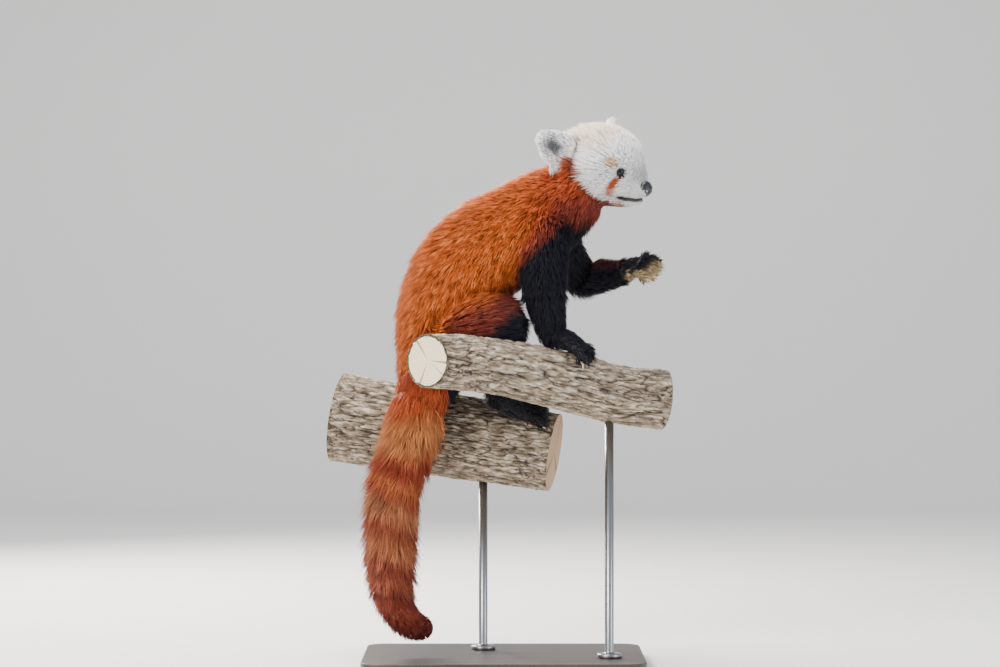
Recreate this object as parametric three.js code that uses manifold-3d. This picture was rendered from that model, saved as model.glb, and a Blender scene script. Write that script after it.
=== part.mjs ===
// A life-size red panda (Ailurus fulgens) sitting across two cut lengths of branch on a plain display stand.
// Millimetres. +X is the way the body faces, +Y its left side, +Z up. The origin is the middle of the
// underside of the stand's base.
import * as THREE from 'three';
import { mergeVertices } from 'three/addons/utils/BufferGeometryUtils.js';
import Module from 'manifold-3d';

const wasm = await Module();
wasm.setup();

// Driving dimensions
const GAP = 0.3; // clearance kept between touching pieces
const BODY_COAT = 17; // depth of the coat on the back and flanks
const LEG_COAT = 11; // depth of the coat on the legs
const HEAD_COAT = 5; // how far the longer hair of the cheeks and nape stands off the head
const CORE_SHARE = 0.5; // how far up the coat the solid core reaches
const TAIL_FLESH = 11; // radius of the tail's flesh and bone
const BASE = { length: 380, width: 250, thick: 14, corner: 26, x: -2, y: 2 };
const ROD_RADIUS = 6;
const RODS = { front: { x: 140, y: -46, top: 360 }, rear: { x: -30, y: 54, top: 290 } };
const HEAD_PLACE = { x: 171, y: -30, z: 669, yaw: -36, pitch: 14, roll: 10 }; // between the eyes, in degrees

const UP = new THREE.Vector3(0, 0, 1);
const ACROSS = new THREE.Vector3(0, 1, 0);
const vec = (x, y, z) => new THREE.Vector3(x, y, z);

// Seeded random numbers, so that every build is the same
let seed = 20261;
function random(low = 0, high = 1) {
  seed = (seed * 1664525 + 1013904223) % 4294967296;
  return low + (high - low) * (seed / 4294967296);
}

// Solids: a closed geometry as a manifold, and back
function solidOf(geometry) {
  const bare = geometry.clone();
  bare.deleteAttribute('normal');
  bare.deleteAttribute('uv');
  const merged = mergeVertices(bare, 1e-4);
  return new wasm.Manifold(new wasm.Mesh({
    numProp: 3,
    vertProperties: new Float32Array(merged.attributes.position.array),
    triVerts: new Uint32Array(merged.index.array),
  }));
}

function geometryOf(solid) {
  const mesh = solid.getMesh();
  const geometry = new THREE.BufferGeometry();
  geometry.setAttribute('position', new THREE.BufferAttribute(new Float32Array(mesh.vertProperties), 3));
  geometry.setIndex(new THREE.BufferAttribute(new Uint32Array(mesh.triVerts), 1));
  geometry.computeVertexNormals();
  return geometry;
}

const join = (solids) => solids.reduce((whole, solid) => whole.add(solid));
const cut = (solid, tools) => tools.reduce((left, tool) => left.subtract(tool), solid);

function largest(solid) {
  const bodies = solid.decompose();
  return bodies.reduce((best, body) => (body.volume() > best.volume() ? body : best), bodies[0]);
}

// A closed shell from rings of points and a point at each end
function shellGeometry(rings, startPoint, endPoint) {
  const sides = rings[0].length;
  const points = [startPoint, ...rings.flat(), endPoint];
  const last = points.length - 1;
  const at = (ring, side) => 1 + ring * sides + (side % sides);
  const faces = [];
  for (let side = 0; side < sides; side += 1) {
    faces.push(0, at(0, side + 1), at(0, side));
    faces.push(last, at(rings.length - 1, side), at(rings.length - 1, side + 1));
    for (let ring = 0; ring < rings.length - 1; ring += 1) {
      faces.push(at(ring, side), at(ring, side + 1), at(ring + 1, side + 1));
      faces.push(at(ring, side), at(ring + 1, side + 1), at(ring + 1, side));
    }
  }
  const geometry = new THREE.BufferGeometry();
  geometry.setAttribute('position', new THREE.Float32BufferAttribute(points.flatMap((p) => p.toArray()), 3));
  geometry.setIndex(faces);
  return volumeOf(geometry) < 0 ? turned(geometry) : geometry;
}

function volumeOf(geometry) {
  const position = geometry.attributes.position;
  const corner = [vec(), vec(), vec()];
  let sum = 0;
  for (let i = 0; i < geometry.index.count; i += 3) {
    corner.forEach((c, k) => c.fromBufferAttribute(position, geometry.index.getX(i + k)));
    sum += corner[0].dot(corner[1].clone().cross(corner[2]));
  }
  return sum / 6;
}

function turned(geometry) {
  geometry.setIndex([...geometry.index.array].reverse());
  return geometry;
}

// A sweep follows stations of [x, y, z, half width, height above, height below], smoothed by a spline.
// Its rings are ellipses square to the path, and both ends are domed.
class Sweep {
  constructor(stations, options = {}) {
    const { side = ACROSS, rings = 12, sides = 14, dome = [0.6, 0.6], inset = 0, rise = inset } = options;
    this.stations = stations.map((s) => (s.length === 4 ? [s[0], s[1], s[2], s[3], s[3], s[3]] : s));
    this.side = side;
    this.rings = rings;
    this.sides = sides;
    this.dome = dome;
    this.inset = inset;
    this.rise = rise;
  }

  values(u) {
    const s = this.stations;
    const t = THREE.MathUtils.clamp(u, 0, 1) * (s.length - 1);
    const i = Math.min(Math.floor(t), s.length - 2);
    const f = t - i;
    const before = s[Math.max(i - 1, 0)];
    const after = s[Math.min(i + 2, s.length - 1)];
    return s[i].map((b, k) => {
      const a = before[k];
      const c = s[i + 1][k];
      const d = after[k];
      const bend = 2 * a - 5 * b + 4 * c - d;
      return 0.5 * (2 * b + (c - a) * f + bend * f ** 2 + (3 * b - a - 3 * c + d) * f ** 3);
    });
  }

  centre(u) {
    return vec(...this.values(u).slice(0, 3));
  }

  frame(u) {
    const step = 0.01;
    const along = this.centre(Math.min(u + step, 1)).sub(this.centre(Math.max(u - step, 0))).normalize();
    const across = this.side.clone().addScaledVector(along, -this.side.dot(along)).normalize();
    return { along, across, up: along.clone().cross(across) };
  }

  // A point of the surface at u along and angle round, raised by lift
  point(u, angle, lift = 0) {
    const { across, up } = this.frame(u);
    const [, , , width, above, below] = this.values(u);
    const grow = lift - this.inset;
    const height = Math.sin(angle) > 0 ? above : below;
    return this.centre(u)
      .addScaledVector(across, Math.cos(angle) * (width + grow))
      .addScaledVector(up, Math.sin(angle) * (height + grow));
  }

  normal(u, angle) {
    const d = 0.02;
    const round = this.point(u, angle + d).sub(this.point(u, angle - d));
    const along = this.point(Math.min(u + d, 1), angle).sub(this.point(Math.max(u - d, 0), angle));
    const out = along.cross(round).normalize();
    return out.dot(this.point(u, angle).sub(this.centre(u))) < 0 ? out.negate() : out;
  }

  girth(u) {
    const [, , , width, above, below] = this.values(u);
    return Math.PI * (width + (above + below) / 2 - 2 * this.inset);
  }

  // How far the outline stands above the surface that is built
  loft() {
    return this.rise;
  }

  length() {
    let sum = 0;
    for (let k = 0; k < 40; k += 1) sum += this.centre(k / 40).distanceTo(this.centre((k + 1) / 40));
    return sum;
  }

  geometry(grow = 0) {
    const ringAt = (u, share, shift) => {
      const { along } = this.frame(u);
      const centre = this.centre(u);
      const angle = (k) => (2 * Math.PI * (k + 0.5)) / this.sides;
      return Array.from({ length: this.sides }, (_, k) => this.point(u, angle(k), grow)
        .sub(centre).multiplyScalar(share).add(centre).addScaledVector(along, shift));
    };
    const reach = (u, share) => {
      const [, , , width, above, below] = this.values(u);
      return share * Math.min(width, (above + below) / 2) - this.inset * share + grow;
    };
    const start = reach(0, this.dome[0]);
    const end = reach(1, this.dome[1]);
    const rings = [];
    if (this.dome[0] > 0.2) rings.push(ringAt(0, 0.6, -start * 0.8));
    for (let k = 0; k <= this.rings; k += 1) rings.push(ringAt(k / this.rings, 1, 0));
    if (this.dome[1] > 0.2) rings.push(ringAt(1, 0.6, end * 0.8));
    const startPoint = this.centre(0).addScaledVector(this.frame(0).along, -start);
    const endPoint = this.centre(1).addScaledVector(this.frame(1).along, end);
    return shellGeometry(rings, startPoint, endPoint);
  }

  solid(grow = 0) {
    return solidOf(this.geometry(grow));
  }
}

// One flat lock of hair: a blade that leaves the surface, widens, lies along it and tapers to a tip.
// heights are the lifts of its root, shoulder, middle and tip above the surface that it grows from.
const LOCK_STEPS = [0, 0.3, 0.68, 1]; // where those four lie along the lock
const LOCK_SPREAD = [0, 1, 0.8, 0]; // and how much of the full width they have
function lockSolid(sweep, { u, angle, run, drift = 0, width, thick, heights }, grow = 0) {
  const rows = LOCK_STEPS.map((step, k) => {
    const here = sweep.point(clampEnd(u + run * step), angle + drift * step, heights[k]);
    const out = sweep.normal(clampEnd(u + run * step), angle + drift * step);
    return { here, out };
  });
  const rings = [1, 2].map((k) => {
    const { here, out } = rows[k];
    const ahead = rows[k + 1].here.clone().sub(rows[k - 1].here).normalize();
    const side = ahead.clone().cross(out).normalize();
    const over = side.clone().cross(ahead).normalize();
    const half = (width / 2) * LOCK_SPREAD[k] + grow;
    const rise = thick / 2 + grow;
    const edge = here.clone().addScaledVector(over, -thick / 3);
    return [
      edge.clone().addScaledVector(side, half),
      here.clone().addScaledVector(over, rise),
      edge.clone().addScaledVector(side, -half),
      here.clone().addScaledVector(over, -rise),
    ];
  });
  const [root, shoulder, middle, tip] = rows.map(({ here }) => here.clone());
  root.addScaledVector(shoulder.clone().sub(root).normalize(), -grow);
  tip.addScaledVector(tip.clone().sub(middle).normalize(), grow * 4);
  return solidOf(shellGeometry(rings, root, tip));
}

const clampEnd = (u) => THREE.MathUtils.clamp(u, 0, 1);

// Rows of locks laid like shingles over a stretch of a sweep. The rows run from one end of the stretch to
// the other and the tips lie that way. where(u, angle, point) leaves out bare places.
const LOCK_RISE = [-0.75, 0.35, 0.75, 1]; // heights of a lock from root to tip, as shares of the loft
function coatOf(sweep, { from, to, rows, pitch, length, width, thick, where = () => true, skew = 0 }) {
  const reach = sweep.length();
  const locks = [];
  for (let row = 0; row < rows; row += 1) {
    const u = from + ((to - from) * (row + 0.5)) / rows;
    const count = Math.max(3, Math.round(sweep.girth(u) / pitch));
    for (let k = 0; k < count; k += 1) {
      const angle = (2 * Math.PI * (k + (row % 2) / 2 + random(-0.12, 0.12))) / count;
      const size = random(0.88, 1.14);
      const lock = {
        u: u + random(-0.2, 0.2) * ((to - from) / rows),
        angle,
        run: (Math.sign(to - from) * length * size) / reach,
        drift: random(-0.1, 0.1) + skew * Math.sin(angle),
        width: Math.min(width, sweep.girth(u) / 3.4) * random(0.92, 1.1),
        thick,
        heights: LOCK_RISE.map((share, i) => share * sweep.loft(u) * (i === 0 ? 1 : random(0.92, 1.08))),
      };
      if (where(lock.u, angle, sweep.point(lock.u, angle))) locks.push(lock);
    }
  }
  return locks;
}

// Half of space behind a plane, as a large block
const BLOCK = 1500;
function behindPlane(point, normal) {
  const block = new THREE.BoxGeometry(BLOCK, BLOCK, BLOCK);
  const turn = new THREE.Quaternion().setFromUnitVectors(UP, normal.clone().normalize());
  block.translate(0, 0, -BLOCK / 2);
  block.applyQuaternion(turn);
  block.translate(point.x, point.y, point.z);
  return solidOf(block);
}

// True where a point lies well inside one of the sweeps, so that no lock is rooted there
function within(point, sweeps, margin) {
  return sweeps.some((sweep) => {
    for (let k = 0; k <= 10; k += 1) {
      const [x, y, z, width, above] = sweep.values(k / 10);
      if (point.distanceTo(vec(x, y, z)) < Math.min(width, above) - margin) return true;
    }
    return false;
  });
}

const mirrored = (stations) => stations.map(([x, y, ...rest]) => [x, -y, ...rest]);

const COLOUR = {
  rust: 0xa8481c, black: 0x1c1512, cream: 0xefe6da, ochre: 0xc07a48, eye: 0x120c0a, nose: 0x17141a,
  bark: 0x9a8a78, steel: 0x55585c, stand: 0x3a3431,
};

// The two branches: the front one carries the right hand, the back one the seat and hind feet.
// Bark stands in low ridges that run along the branch.
function barkRidges(depth, turns) {
  return (u, angle) => depth * Math.sin(turns * angle + 2.5 * Math.sin(7 * u)) * Math.sin(11 * u + 2 * angle);
}

class Branch extends Sweep {
  constructor(stations, relief) {
    super(stations, { rings: 9, sides: 15, dome: [0, 0] });
    this.relief = relief;
  }

  point(u, angle, lift = 0) {
    return super.point(u, angle, lift + this.relief(u, angle));
  }
}

const frontBranch = new Branch([
  [-162, -121, 419, 35], [-110, -108, 414, 36], [-60, -95, 411, 37], [-7, -83, 405, 38], [73, -62, 388, 40],
  [155, -42, 367, 40], [214, -27, 360, 41],
], barkRidges(1.6, 6));
const SAWN_END = { point: vec(-102, -107, 414), normal: vec(-0.73, -0.68, 0.05) }; // cut at a slant
const backBranch = new Branch([
  [-232, 92, 333, 62], [-130, 75, 317, 60], [-20, 56, 300, 57], [68, 40, 286, 54],
], barkRidges(2, 7));

// The trunk of the body, from the rump to the back of the head. Its outline is the outside of the coat.
const trunkStations = [
  [-116, 2, 362, 52, 32, 40], [-99, 0, 413, 70, 53, 60], [-80, 0, 468, 78, 73, 70], [-50, 0, 520, 80, 86, 64],
  [-12, 0, 560, 76, 83, 62], [27, 0, 590, 70, 72, 66], [58, 0, 611, 63, 67, 60], [84, -1, 628, 57, 60, 52],
  [108, -4, 646, 50, 52, 44], [128, -8, 662, 44, 44, 40],
];
const trunk = new Sweep(trunkStations, {
  rings: 14, sides: 14, dome: [0.5, 0.6], inset: BODY_COAT * CORE_SHARE,
});
const NECK_START = 0.73;

const neckPlane = (shift) => {
  const { along } = trunk.frame(NECK_START);
  return behindPlane(trunk.centre(NECK_START).addScaledVector(along, shift), along);
};

// Legs, from the trunk outwards. Each list is for the right leg unless its name says left.
const legInset = LEG_COAT * CORE_SHARE;
const legSweep = (stations, rings = 4, sides = 9, dome = [0.7, 0.6]) => new Sweep(stations, {
  rings, sides, dome, inset: legInset,
});
const rightUpperArm = legSweep([[56, -34, 592, 36], [52, -48, 552, 35], [52, -58, 512, 32]]);
const rightForearm = legSweep([[52, -59, 506, 31], [57, -62, 476, 26], [62, -63, 452, 22]]);
const leftUpperArm = legSweep([[64, 34, 588, 36], [84, 48, 554, 31], [104, 54, 526, 27]]);
const leftForearm = legSweep([[106, 54, 524, 27], [130, 45, 528, 25], [152, 33, 531, 20.5]]);
const thighStations = [[-74, -40, 452, 42], [-38, -52, 462, 46], [-4, -58, 467, 37]];
const rightThigh = legSweep(thighStations, 5, 10);
const leftThigh = legSweep(mirrored(thighStations), 5, 10);
const rightShin = legSweep([[2, -54, 456, 30], [-2, -30, 420, 25], [-12, -5, 380, 19]]);
const leftShin = legSweep([[2, 56, 456, 30], [0, 67, 420, 25], [-11, 80, 388, 19]]);

// The tail hangs between the branches in four lengths: its flesh is thin and its coat is deep.
const tailOutline = [
  [-104, -22, 402, 34, 38, 38], [-111, -27, 376, 37, 43, 43], [-118, -28, 346, 38, 46, 46],
  [-131, -28, 299, 38, 42, 42], [-147, -27, 252, 37, 37, 37], [-153, -26, 204, 36, 36, 36],
  [-154, -25, 164, 35, 35, 35], [-154, -24, 122, 30, 30, 30], [-150, -24, 92, 25, 25, 25],
  [-138, -24, 67, 22, 22, 22], [-119, -26, 53, 17, 17, 17], [-103, -28, 51, 10, 10, 10],
];
class Tail extends Sweep {
  values(u) {
    const [x, y, z, ...radii] = super.values(u);
    return [x, y, z, ...radii.map((r) => TAIL_FLESH + (r - TAIL_FLESH) * CORE_SHARE)];
  }

  loft(u) {
    return super.values(u)[3] - this.values(u)[3];
  }
}
const tail = new Tail(tailOutline, { rings: 18, sides: 9, dome: [0.6, 0.8] });
const TAIL_CUTS = [0, 0.27, 0.52, 0.77, 1];

// Paws: a pad with five toes, each with a curved claw. spread is the direction from one side of the paw to
// the other, toe the length of the middle toe, and down how steeply the toes bend to what they hold.
const TOES = 5;
const TOE_FAN = 0.2; // how far the outer toes turn outwards
const TOE_RADII = [5.2, 5.6, 4.6]; // at the root, the knuckle and the tip
const CLAW = { length: 7, drop: 7, radii: [2.2, 1.9, 0.7] };
const PALM = [[0.95, 0.85, 0.8], [1.1, 0.7, 0.62], [1.05, 0.52, 0.48]]; // half width and heights, as shares
function pawSolid({ wrist, middle, front, spread, radius, toe, down }, grow) {
  const palm = new Sweep(
    [wrist, middle, front].map((place, k) => [...place.toArray(), ...PALM[k].map((share) => radius * share)]),
    { side: spread, rings: 2, sides: 8, dome: [0.7, 0.6] },
  );
  const forward = front.clone().sub(middle).normalize();
  const lower = spread.clone().cross(forward).normalize();
  if (lower.z > 0) lower.negate();
  const toes = [];
  for (let k = 0; k < TOES; k += 1) {
    const place = (2 * k) / (TOES - 1) - 1;
    const reach = toe * (1 - 0.16 * place * place);
    const fan = forward.clone().addScaledVector(spread, place * TOE_FAN).normalize();
    const root = front.clone().addScaledVector(spread, place * radius * 0.82);
    root.addScaledVector(forward, -toe / 4);
    const knuckle = root.clone().addScaledVector(fan, reach * 0.55).addScaledVector(lower, -1.5);
    const tip = root.clone().addScaledVector(fan, reach).addScaledVector(lower, reach * down);
    const digit = new Sweep(
      [root, knuckle, tip].map((point, i) => [...point.toArray(), TOE_RADII[i]]),
      { side: spread, rings: 2, sides: 5, dome: [0, 0.7] },
    );
    const clawMiddle = tip.clone().addScaledVector(fan, CLAW.length - 1).addScaledVector(lower, 1.5);
    const clawEnd = tip.clone().addScaledVector(fan, CLAW.length).addScaledVector(lower, CLAW.drop);
    const claw = new Sweep(
      [tip, clawMiddle, clawEnd].map((point, i) => [...point.toArray(), CLAW.radii[i]]),
      { side: spread, rings: 2, sides: 3, dome: [0, 0] },
    );
    toes.push(digit.solid(grow), claw.solid(grow));
  }
  return join([palm.solid(grow), ...toes]);
}

const paws = {
  forepaw_right: {
    wrist: vec(65, -64, 446), middle: vec(85, -66, 438), front: vec(101, -71, 428),
    spread: vec(0.33, 0.94, 0.1).normalize(), radius: 20, toe: 20, down: 0.55,
  },
  forepaw_left: {
    wrist: vec(158, 29, 532), middle: vec(174, 18, 538), front: vec(184, 9, 541),
    spread: vec(0.45, 0.65, 0.62).normalize(), radius: 18, toe: 20, down: 0.8,
  },
  hindpaw_right: {
    wrist: vec(-14, 1, 364), middle: vec(16, 8, 348), front: vec(40, 11, 342),
    spread: vec(0, 0.8, 0.6), radius: 19, toe: 20, down: 0.35,
  },
  hindpaw_left: {
    wrist: vec(-13, 84, 372), middle: vec(16, 78, 354), front: vec(40, 74, 347),
    spread: vec(0, 0.89, -0.45), radius: 19, toe: 20, down: 0.35,
  },
};

// The head, in its own frame: the origin is between the eyes, +X forward, +Y its left, +Z up
const headFrame = new THREE.Group();
headFrame.position.set(HEAD_PLACE.x, HEAD_PLACE.y, HEAD_PLACE.z);
headFrame.rotation.set(
  THREE.MathUtils.degToRad(HEAD_PLACE.roll),
  THREE.MathUtils.degToRad(HEAD_PLACE.pitch),
  THREE.MathUtils.degToRad(HEAD_PLACE.yaw),
  'ZYX',
);
headFrame.updateMatrixWorld();
const inWorld = (solid) => solid.transform([...headFrame.matrixWorld.elements]);

const skull = new Sweep([
  [-84, 0, -4, 38, 33, 32], [-70, 0, -4, 52, 52, 42], [-50, 0, -6, 61, 60, 46], [-30, 0, -9, 59, 59, 45],
  [-13, 0, -12, 46, 49, 38], [0, 0, -15, 33, 34, 27], [10, 0, -19, 25, 17, 17], [20, 0, -22, 18.5, 12, 12.5],
  [27, 0, -23, 14, 9, 8.5],
], { rings: 12, sides: 16, dome: [0.6, 0.4], rise: HEAD_COAT });
const jaw = new Sweep([
  [-34, 0, -38, 31, 10, 13], [-12, 0, -41, 22, 8, 9], [4, 0, -41, 15, 7, 8], [16, 0, -38, 10.5, 6, 6],
], { rings: 3, sides: 8, dome: [0.4, 0.5] });
const EYE = { x: -5.3, y: 22, z: 0.5, radius: 8 };
const SOCKET = { x: -0.3, y: 23, z: 0.5, radii: [9, 9.5, 7.5] };
const LID = { thick: 1.9, ahead: 8.2, out: 4.4, turn: 0.5, opening: [7, 7.2, 5.2] };
const NOSE = { x: 26, z: -18.5, radii: [7.5, 10.5, 9.5] };
const MOUTH = { corner: -10, thick: 1.3, reach: 45 };
const mouthLine = new THREE.CatmullRomCurve3([
  vec(MOUTH.corner, 0, -36.5), vec(0, 0, -38), vec(12, 0, -37.3), vec(20, 0, -36), vec(27, 0, -34.5),
  vec(38, 0, -32),
]);

const ball = (x, y, z, rx, ry, rz, grow = 0, detail = [10, 7]) => {
  const geometry = new THREE.SphereGeometry(1, ...detail);
  geometry.scale(rx + grow, ry + grow, rz + grow);
  geometry.translate(x, y, z);
  return solidOf(geometry);
};

const eyeSolid = (side, grow) => ball(EYE.x, side * EYE.y, EYE.z, EYE.radius, EYE.radius, EYE.radius, grow);

function noseSolid(grow) {
  const pad = ball(NOSE.x, 0, NOSE.z, ...NOSE.radii, grow, [12, 8]);
  if (grow > 0) return pad;
  const nostrils = [-1, 1].flatMap((side) => [
    ball(32, side * 4.4, -20.5, 3.4, 1.9, 1.8, 0, [6, 4]),
    ball(29.5, side * 8.2, -20, 4, 2.6, 0.9, 0, [6, 4]),
  ]);
  return cut(pad, nostrils);
}

function mouthSlot() {
  const half = MOUTH.thick / 2;
  const section = new THREE.Shape();
  section.moveTo(-MOUTH.reach, -half).lineTo(MOUTH.reach, -half);
  section.lineTo(MOUTH.reach, half).lineTo(-MOUTH.reach, half);
  return solidOf(new THREE.ExtrudeGeometry(section, { steps: 6, extrudePath: mouthLine }));
}

// Lids: a shell round each eye with an almond opening that faces forwards and outwards
function lidSolid(side) {
  const shell = ball(EYE.x, side * EYE.y, EYE.z, EYE.radius, EYE.radius, EYE.radius, LID.thick);
  const opening = new THREE.SphereGeometry(1, 10, 6);
  opening.scale(...LID.opening);
  opening.rotateZ(side * LID.turn);
  opening.translate(EYE.x + LID.ahead, side * (EYE.y + LID.out), EYE.z);
  return shell.subtract(solidOf(opening));
}

function headCore(grow) {
  const face = join([skull.solid(grow), jaw.solid(grow)]);
  if (grow > 0) return face;
  const sockets = [-1, 1].map((side) => ball(SOCKET.x, side * SOCKET.y, SOCKET.z, ...SOCKET.radii));
  const shaped = join([cut(face, sockets), lidSolid(-1), lidSolid(1)]);
  return cut(shaped, [mouthSlot(), eyeSolid(-1, GAP), eyeSolid(1, GAP), noseSolid(GAP)]);
}

// Ears: a leaf-shaped lobe, hollowed on the side that faces forwards
const EAR = { base: [-66, 46, 6], tip: [-96, 81, 37], opening: [0.9, 0.4, -0.06] };
function earSweeps(side) {
  const base = vec(EAR.base[0], side * EAR.base[1], EAR.base[2]);
  const tip = vec(EAR.tip[0], side * EAR.tip[1], EAR.tip[2]);
  const along = tip.clone().sub(base).normalize();
  const face = vec(EAR.opening[0], side * EAR.opening[1], EAR.opening[2]);
  face.addScaledVector(along, -face.dot(along)).normalize();
  const across = face.clone().cross(along).normalize();
  const station = (share, push, ...radii) => {
    const centre = base.clone().lerp(tip, share).addScaledVector(face, push);
    return [...centre.toArray(), ...radii];
  };
  const lobe = new Sweep([
    station(0, 0, 17, 9, 10), station(0.3, 0, 22, 9, 10), station(0.62, 0, 21, 6, 8),
    station(0.9, 0, 13, 4, 5),
  ], { side: across, rings: 5, sides: 11, dome: [0.4, 0.8], rise: 5 });
  const cup = new Sweep([
    station(0.2, 5, 9, 9, 8), station(0.42, 5, 16, 11, 9), station(0.66, 4.5, 15.5, 11, 8),
    station(0.88, 4.5, 8, 8, 5),
  ], { side: across, rings: 4, sides: 9, dome: [0.6, 0.5] });
  return { lobe, cup };
}
const ears = { right: earSweeps(-1), left: earSweeps(1) };

// Where the locks lie. Hair runs from the nape to the rump, down the legs and out along the tail.
const limbs = [rightUpperArm, leftUpperArm, rightThigh, leftThigh];
const bodyLock = { pitch: 80, length: 96, width: 88, thick: 9 };
const legLock = { pitch: 58, length: 52, width: 56, thick: 5 };
const clearOfLimbs = (u, angle, point) => !within(point, limbs, 4);
const coats = {
  neck: coatOf(trunk, { ...bodyLock, from: 0.95, to: 0.76, rows: 2, where: clearOfLimbs }),
  torso: coatOf(trunk, { ...bodyLock, from: 0.73, to: 0.21, rows: 4, where: clearOfLimbs }),
  cheeks: coatOf(skull, {
    from: 0.58, to: 0.3, rows: 2, pitch: 44, length: 38, width: 45, thick: 4.5,
    where: (u, angle) => Math.abs(Math.cos(angle)) > 0.45 && Math.sin(angle) < 0.45,
  }),
};
const legCoat = (sweep, rows = 2, from = 0.1, to = 0.7) => coatOf(sweep, {
  ...legLock, from, to, rows, where: (u, angle, point) => !within(point, [trunk], 8),
});
const earCoat = (lobe) => coatOf(lobe, {
  from: 0.1, to: 0.72, rows: 3, pitch: 60, length: 20, width: 13, thick: 3,
  where: (u, angle) => Math.abs(Math.cos(angle)) > 0.8,
});
const tailCoat = (first, last) => coatOf(tail, {
  from: first + 0.01, to: Math.min(last, 0.93), rows: 2, pitch: 46, length: 64, width: 48, thick: 6,
});

// One stretch of the tail between two cuts square to it
function tailLength(first, last) {
  const endPlane = (u, shift, facing) => {
    const { along } = tail.frame(u);
    return behindPlane(tail.centre(u).addScaledVector(along, shift), along.multiplyScalar(facing));
  };
  return (grow) => {
    let core = tail.solid(grow);
    if (first > 0) core = core.subtract(endPlane(first, -grow, 1));
    if (last < 1) core = core.subtract(endPlane(last, grow, -1));
    return core;
  };
}

const slantedLog = (grow) => {
  const outside = behindPlane(
    SAWN_END.point.clone().addScaledVector(SAWN_END.normal, grow),
    SAWN_END.normal.clone().negate(),
  );
  return frontBranch.solid(grow).subtract(outside);
};

// The stand: a flat base and two rods, each with a foot flange, up into the undersides of the branches
function baseSolid(grow) {
  const { length, width, thick, corner, x, y } = BASE;
  const edge = 1.5;
  const outline = new THREE.Shape();
  const halfLength = length / 2 - edge;
  const halfWidth = width / 2 - edge;
  outline.moveTo(-halfLength + corner, -halfWidth).lineTo(halfLength - corner, -halfWidth);
  outline.absarc(halfLength - corner, -halfWidth + corner, corner, -Math.PI / 2, 0);
  outline.absarc(halfLength - corner, halfWidth - corner, corner, 0, Math.PI / 2);
  outline.absarc(-halfLength + corner, halfWidth - corner, corner, Math.PI / 2, Math.PI);
  outline.absarc(-halfLength + corner, -halfWidth + corner, corner, Math.PI, 1.5 * Math.PI);
  const slab = new THREE.ExtrudeGeometry(outline, {
    depth: thick - 2 * edge + grow, bevelThickness: edge, bevelSize: edge, bevelSegments: 1, curveSegments: 5,
  });
  slab.translate(x, y, edge);
  return solidOf(slab);
}

const FLANGE = { radius: 17, thick: 6, bevel: 2, fillet: 3 };
const rodSolid = ({ x, y, top }) => () => {
  const foot = BASE.thick + GAP;
  const { radius: wide, thick, bevel, fillet } = FLANGE;
  const profile = [
    [0, foot], [wide, foot], [wide, foot + thick - bevel], [wide - bevel, foot + thick],
    [ROD_RADIUS + bevel, foot + thick], [ROD_RADIUS, foot + thick + fillet], [ROD_RADIUS, top], [0, top],
  ].map(([radius, height]) => new THREE.Vector2(radius, height));
  const rod = new THREE.LatheGeometry(profile, 14);
  rod.rotateX(Math.PI / 2);
  rod.translate(x, y, 0);
  return solidOf(rod);
};

// Every piece, with the pieces that it is cut clear of. A piece is listed after all of those.
const pieces = new Map();
function piece(name, colour, shape, { clearOf = [], roughness = 0.9 } = {}) {
  const solid = largest(cut(shape(0), clearOf.map((other) => pieces.get(other).shape(GAP))));
  pieces.set(name, { shape, solid, colour, roughness });
}

const furred = (core, sweep, locks) => (grow) => join([
  core(grow), ...locks.map((lock) => lockSolid(sweep, lock, grow)),
]);
const coreOf = (sweep) => (grow) => sweep.solid(grow);
const headPiece = (shape) => (grow) => inWorld(shape(grow));

const BRANCHES = ['perch_log_front', 'perch_log_rear'];
piece('perch_log_front', COLOUR.bark, slantedLog);
piece('perch_log_rear', COLOUR.bark, coreOf(backBranch));
piece('stand_base', COLOUR.stand, baseSolid, { roughness: 0.5 });
piece('stand_rod_front', COLOUR.steel, rodSolid(RODS.front), { clearOf: BRANCHES, roughness: 0.4 });
piece('stand_rod_rear', COLOUR.steel, rodSolid(RODS.rear), { clearOf: BRANCHES, roughness: 0.4 });

piece('eye_right', COLOUR.eye, headPiece((grow) => eyeSolid(-1, grow)), { roughness: 0.1 });
piece('eye_left', COLOUR.eye, headPiece((grow) => eyeSolid(1, grow)), { roughness: 0.1 });
piece('nose', COLOUR.nose, headPiece(noseSolid), { roughness: 0.35 });
for (const [side, { lobe, cup }] of Object.entries(ears)) {
  const coat = earCoat(lobe);
  const shape = (grow) => furred(coreOf(lobe), lobe, coat)(grow).subtract(cup.solid(-grow));
  piece(`ear_${side}`, COLOUR.cream, headPiece(shape));
}
piece('head', COLOUR.cream, headPiece(furred(headCore, skull, coats.cheeks)), {
  clearOf: ['eye_right', 'eye_left', 'nose', 'ear_right', 'ear_left'],
});
const neckCore = (grow) => trunk.solid(grow).subtract(neckPlane(-grow));
piece('neck', COLOUR.rust, furred(neckCore, trunk, coats.neck), {
  clearOf: ['head', 'ear_right', 'ear_left'],
});

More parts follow.
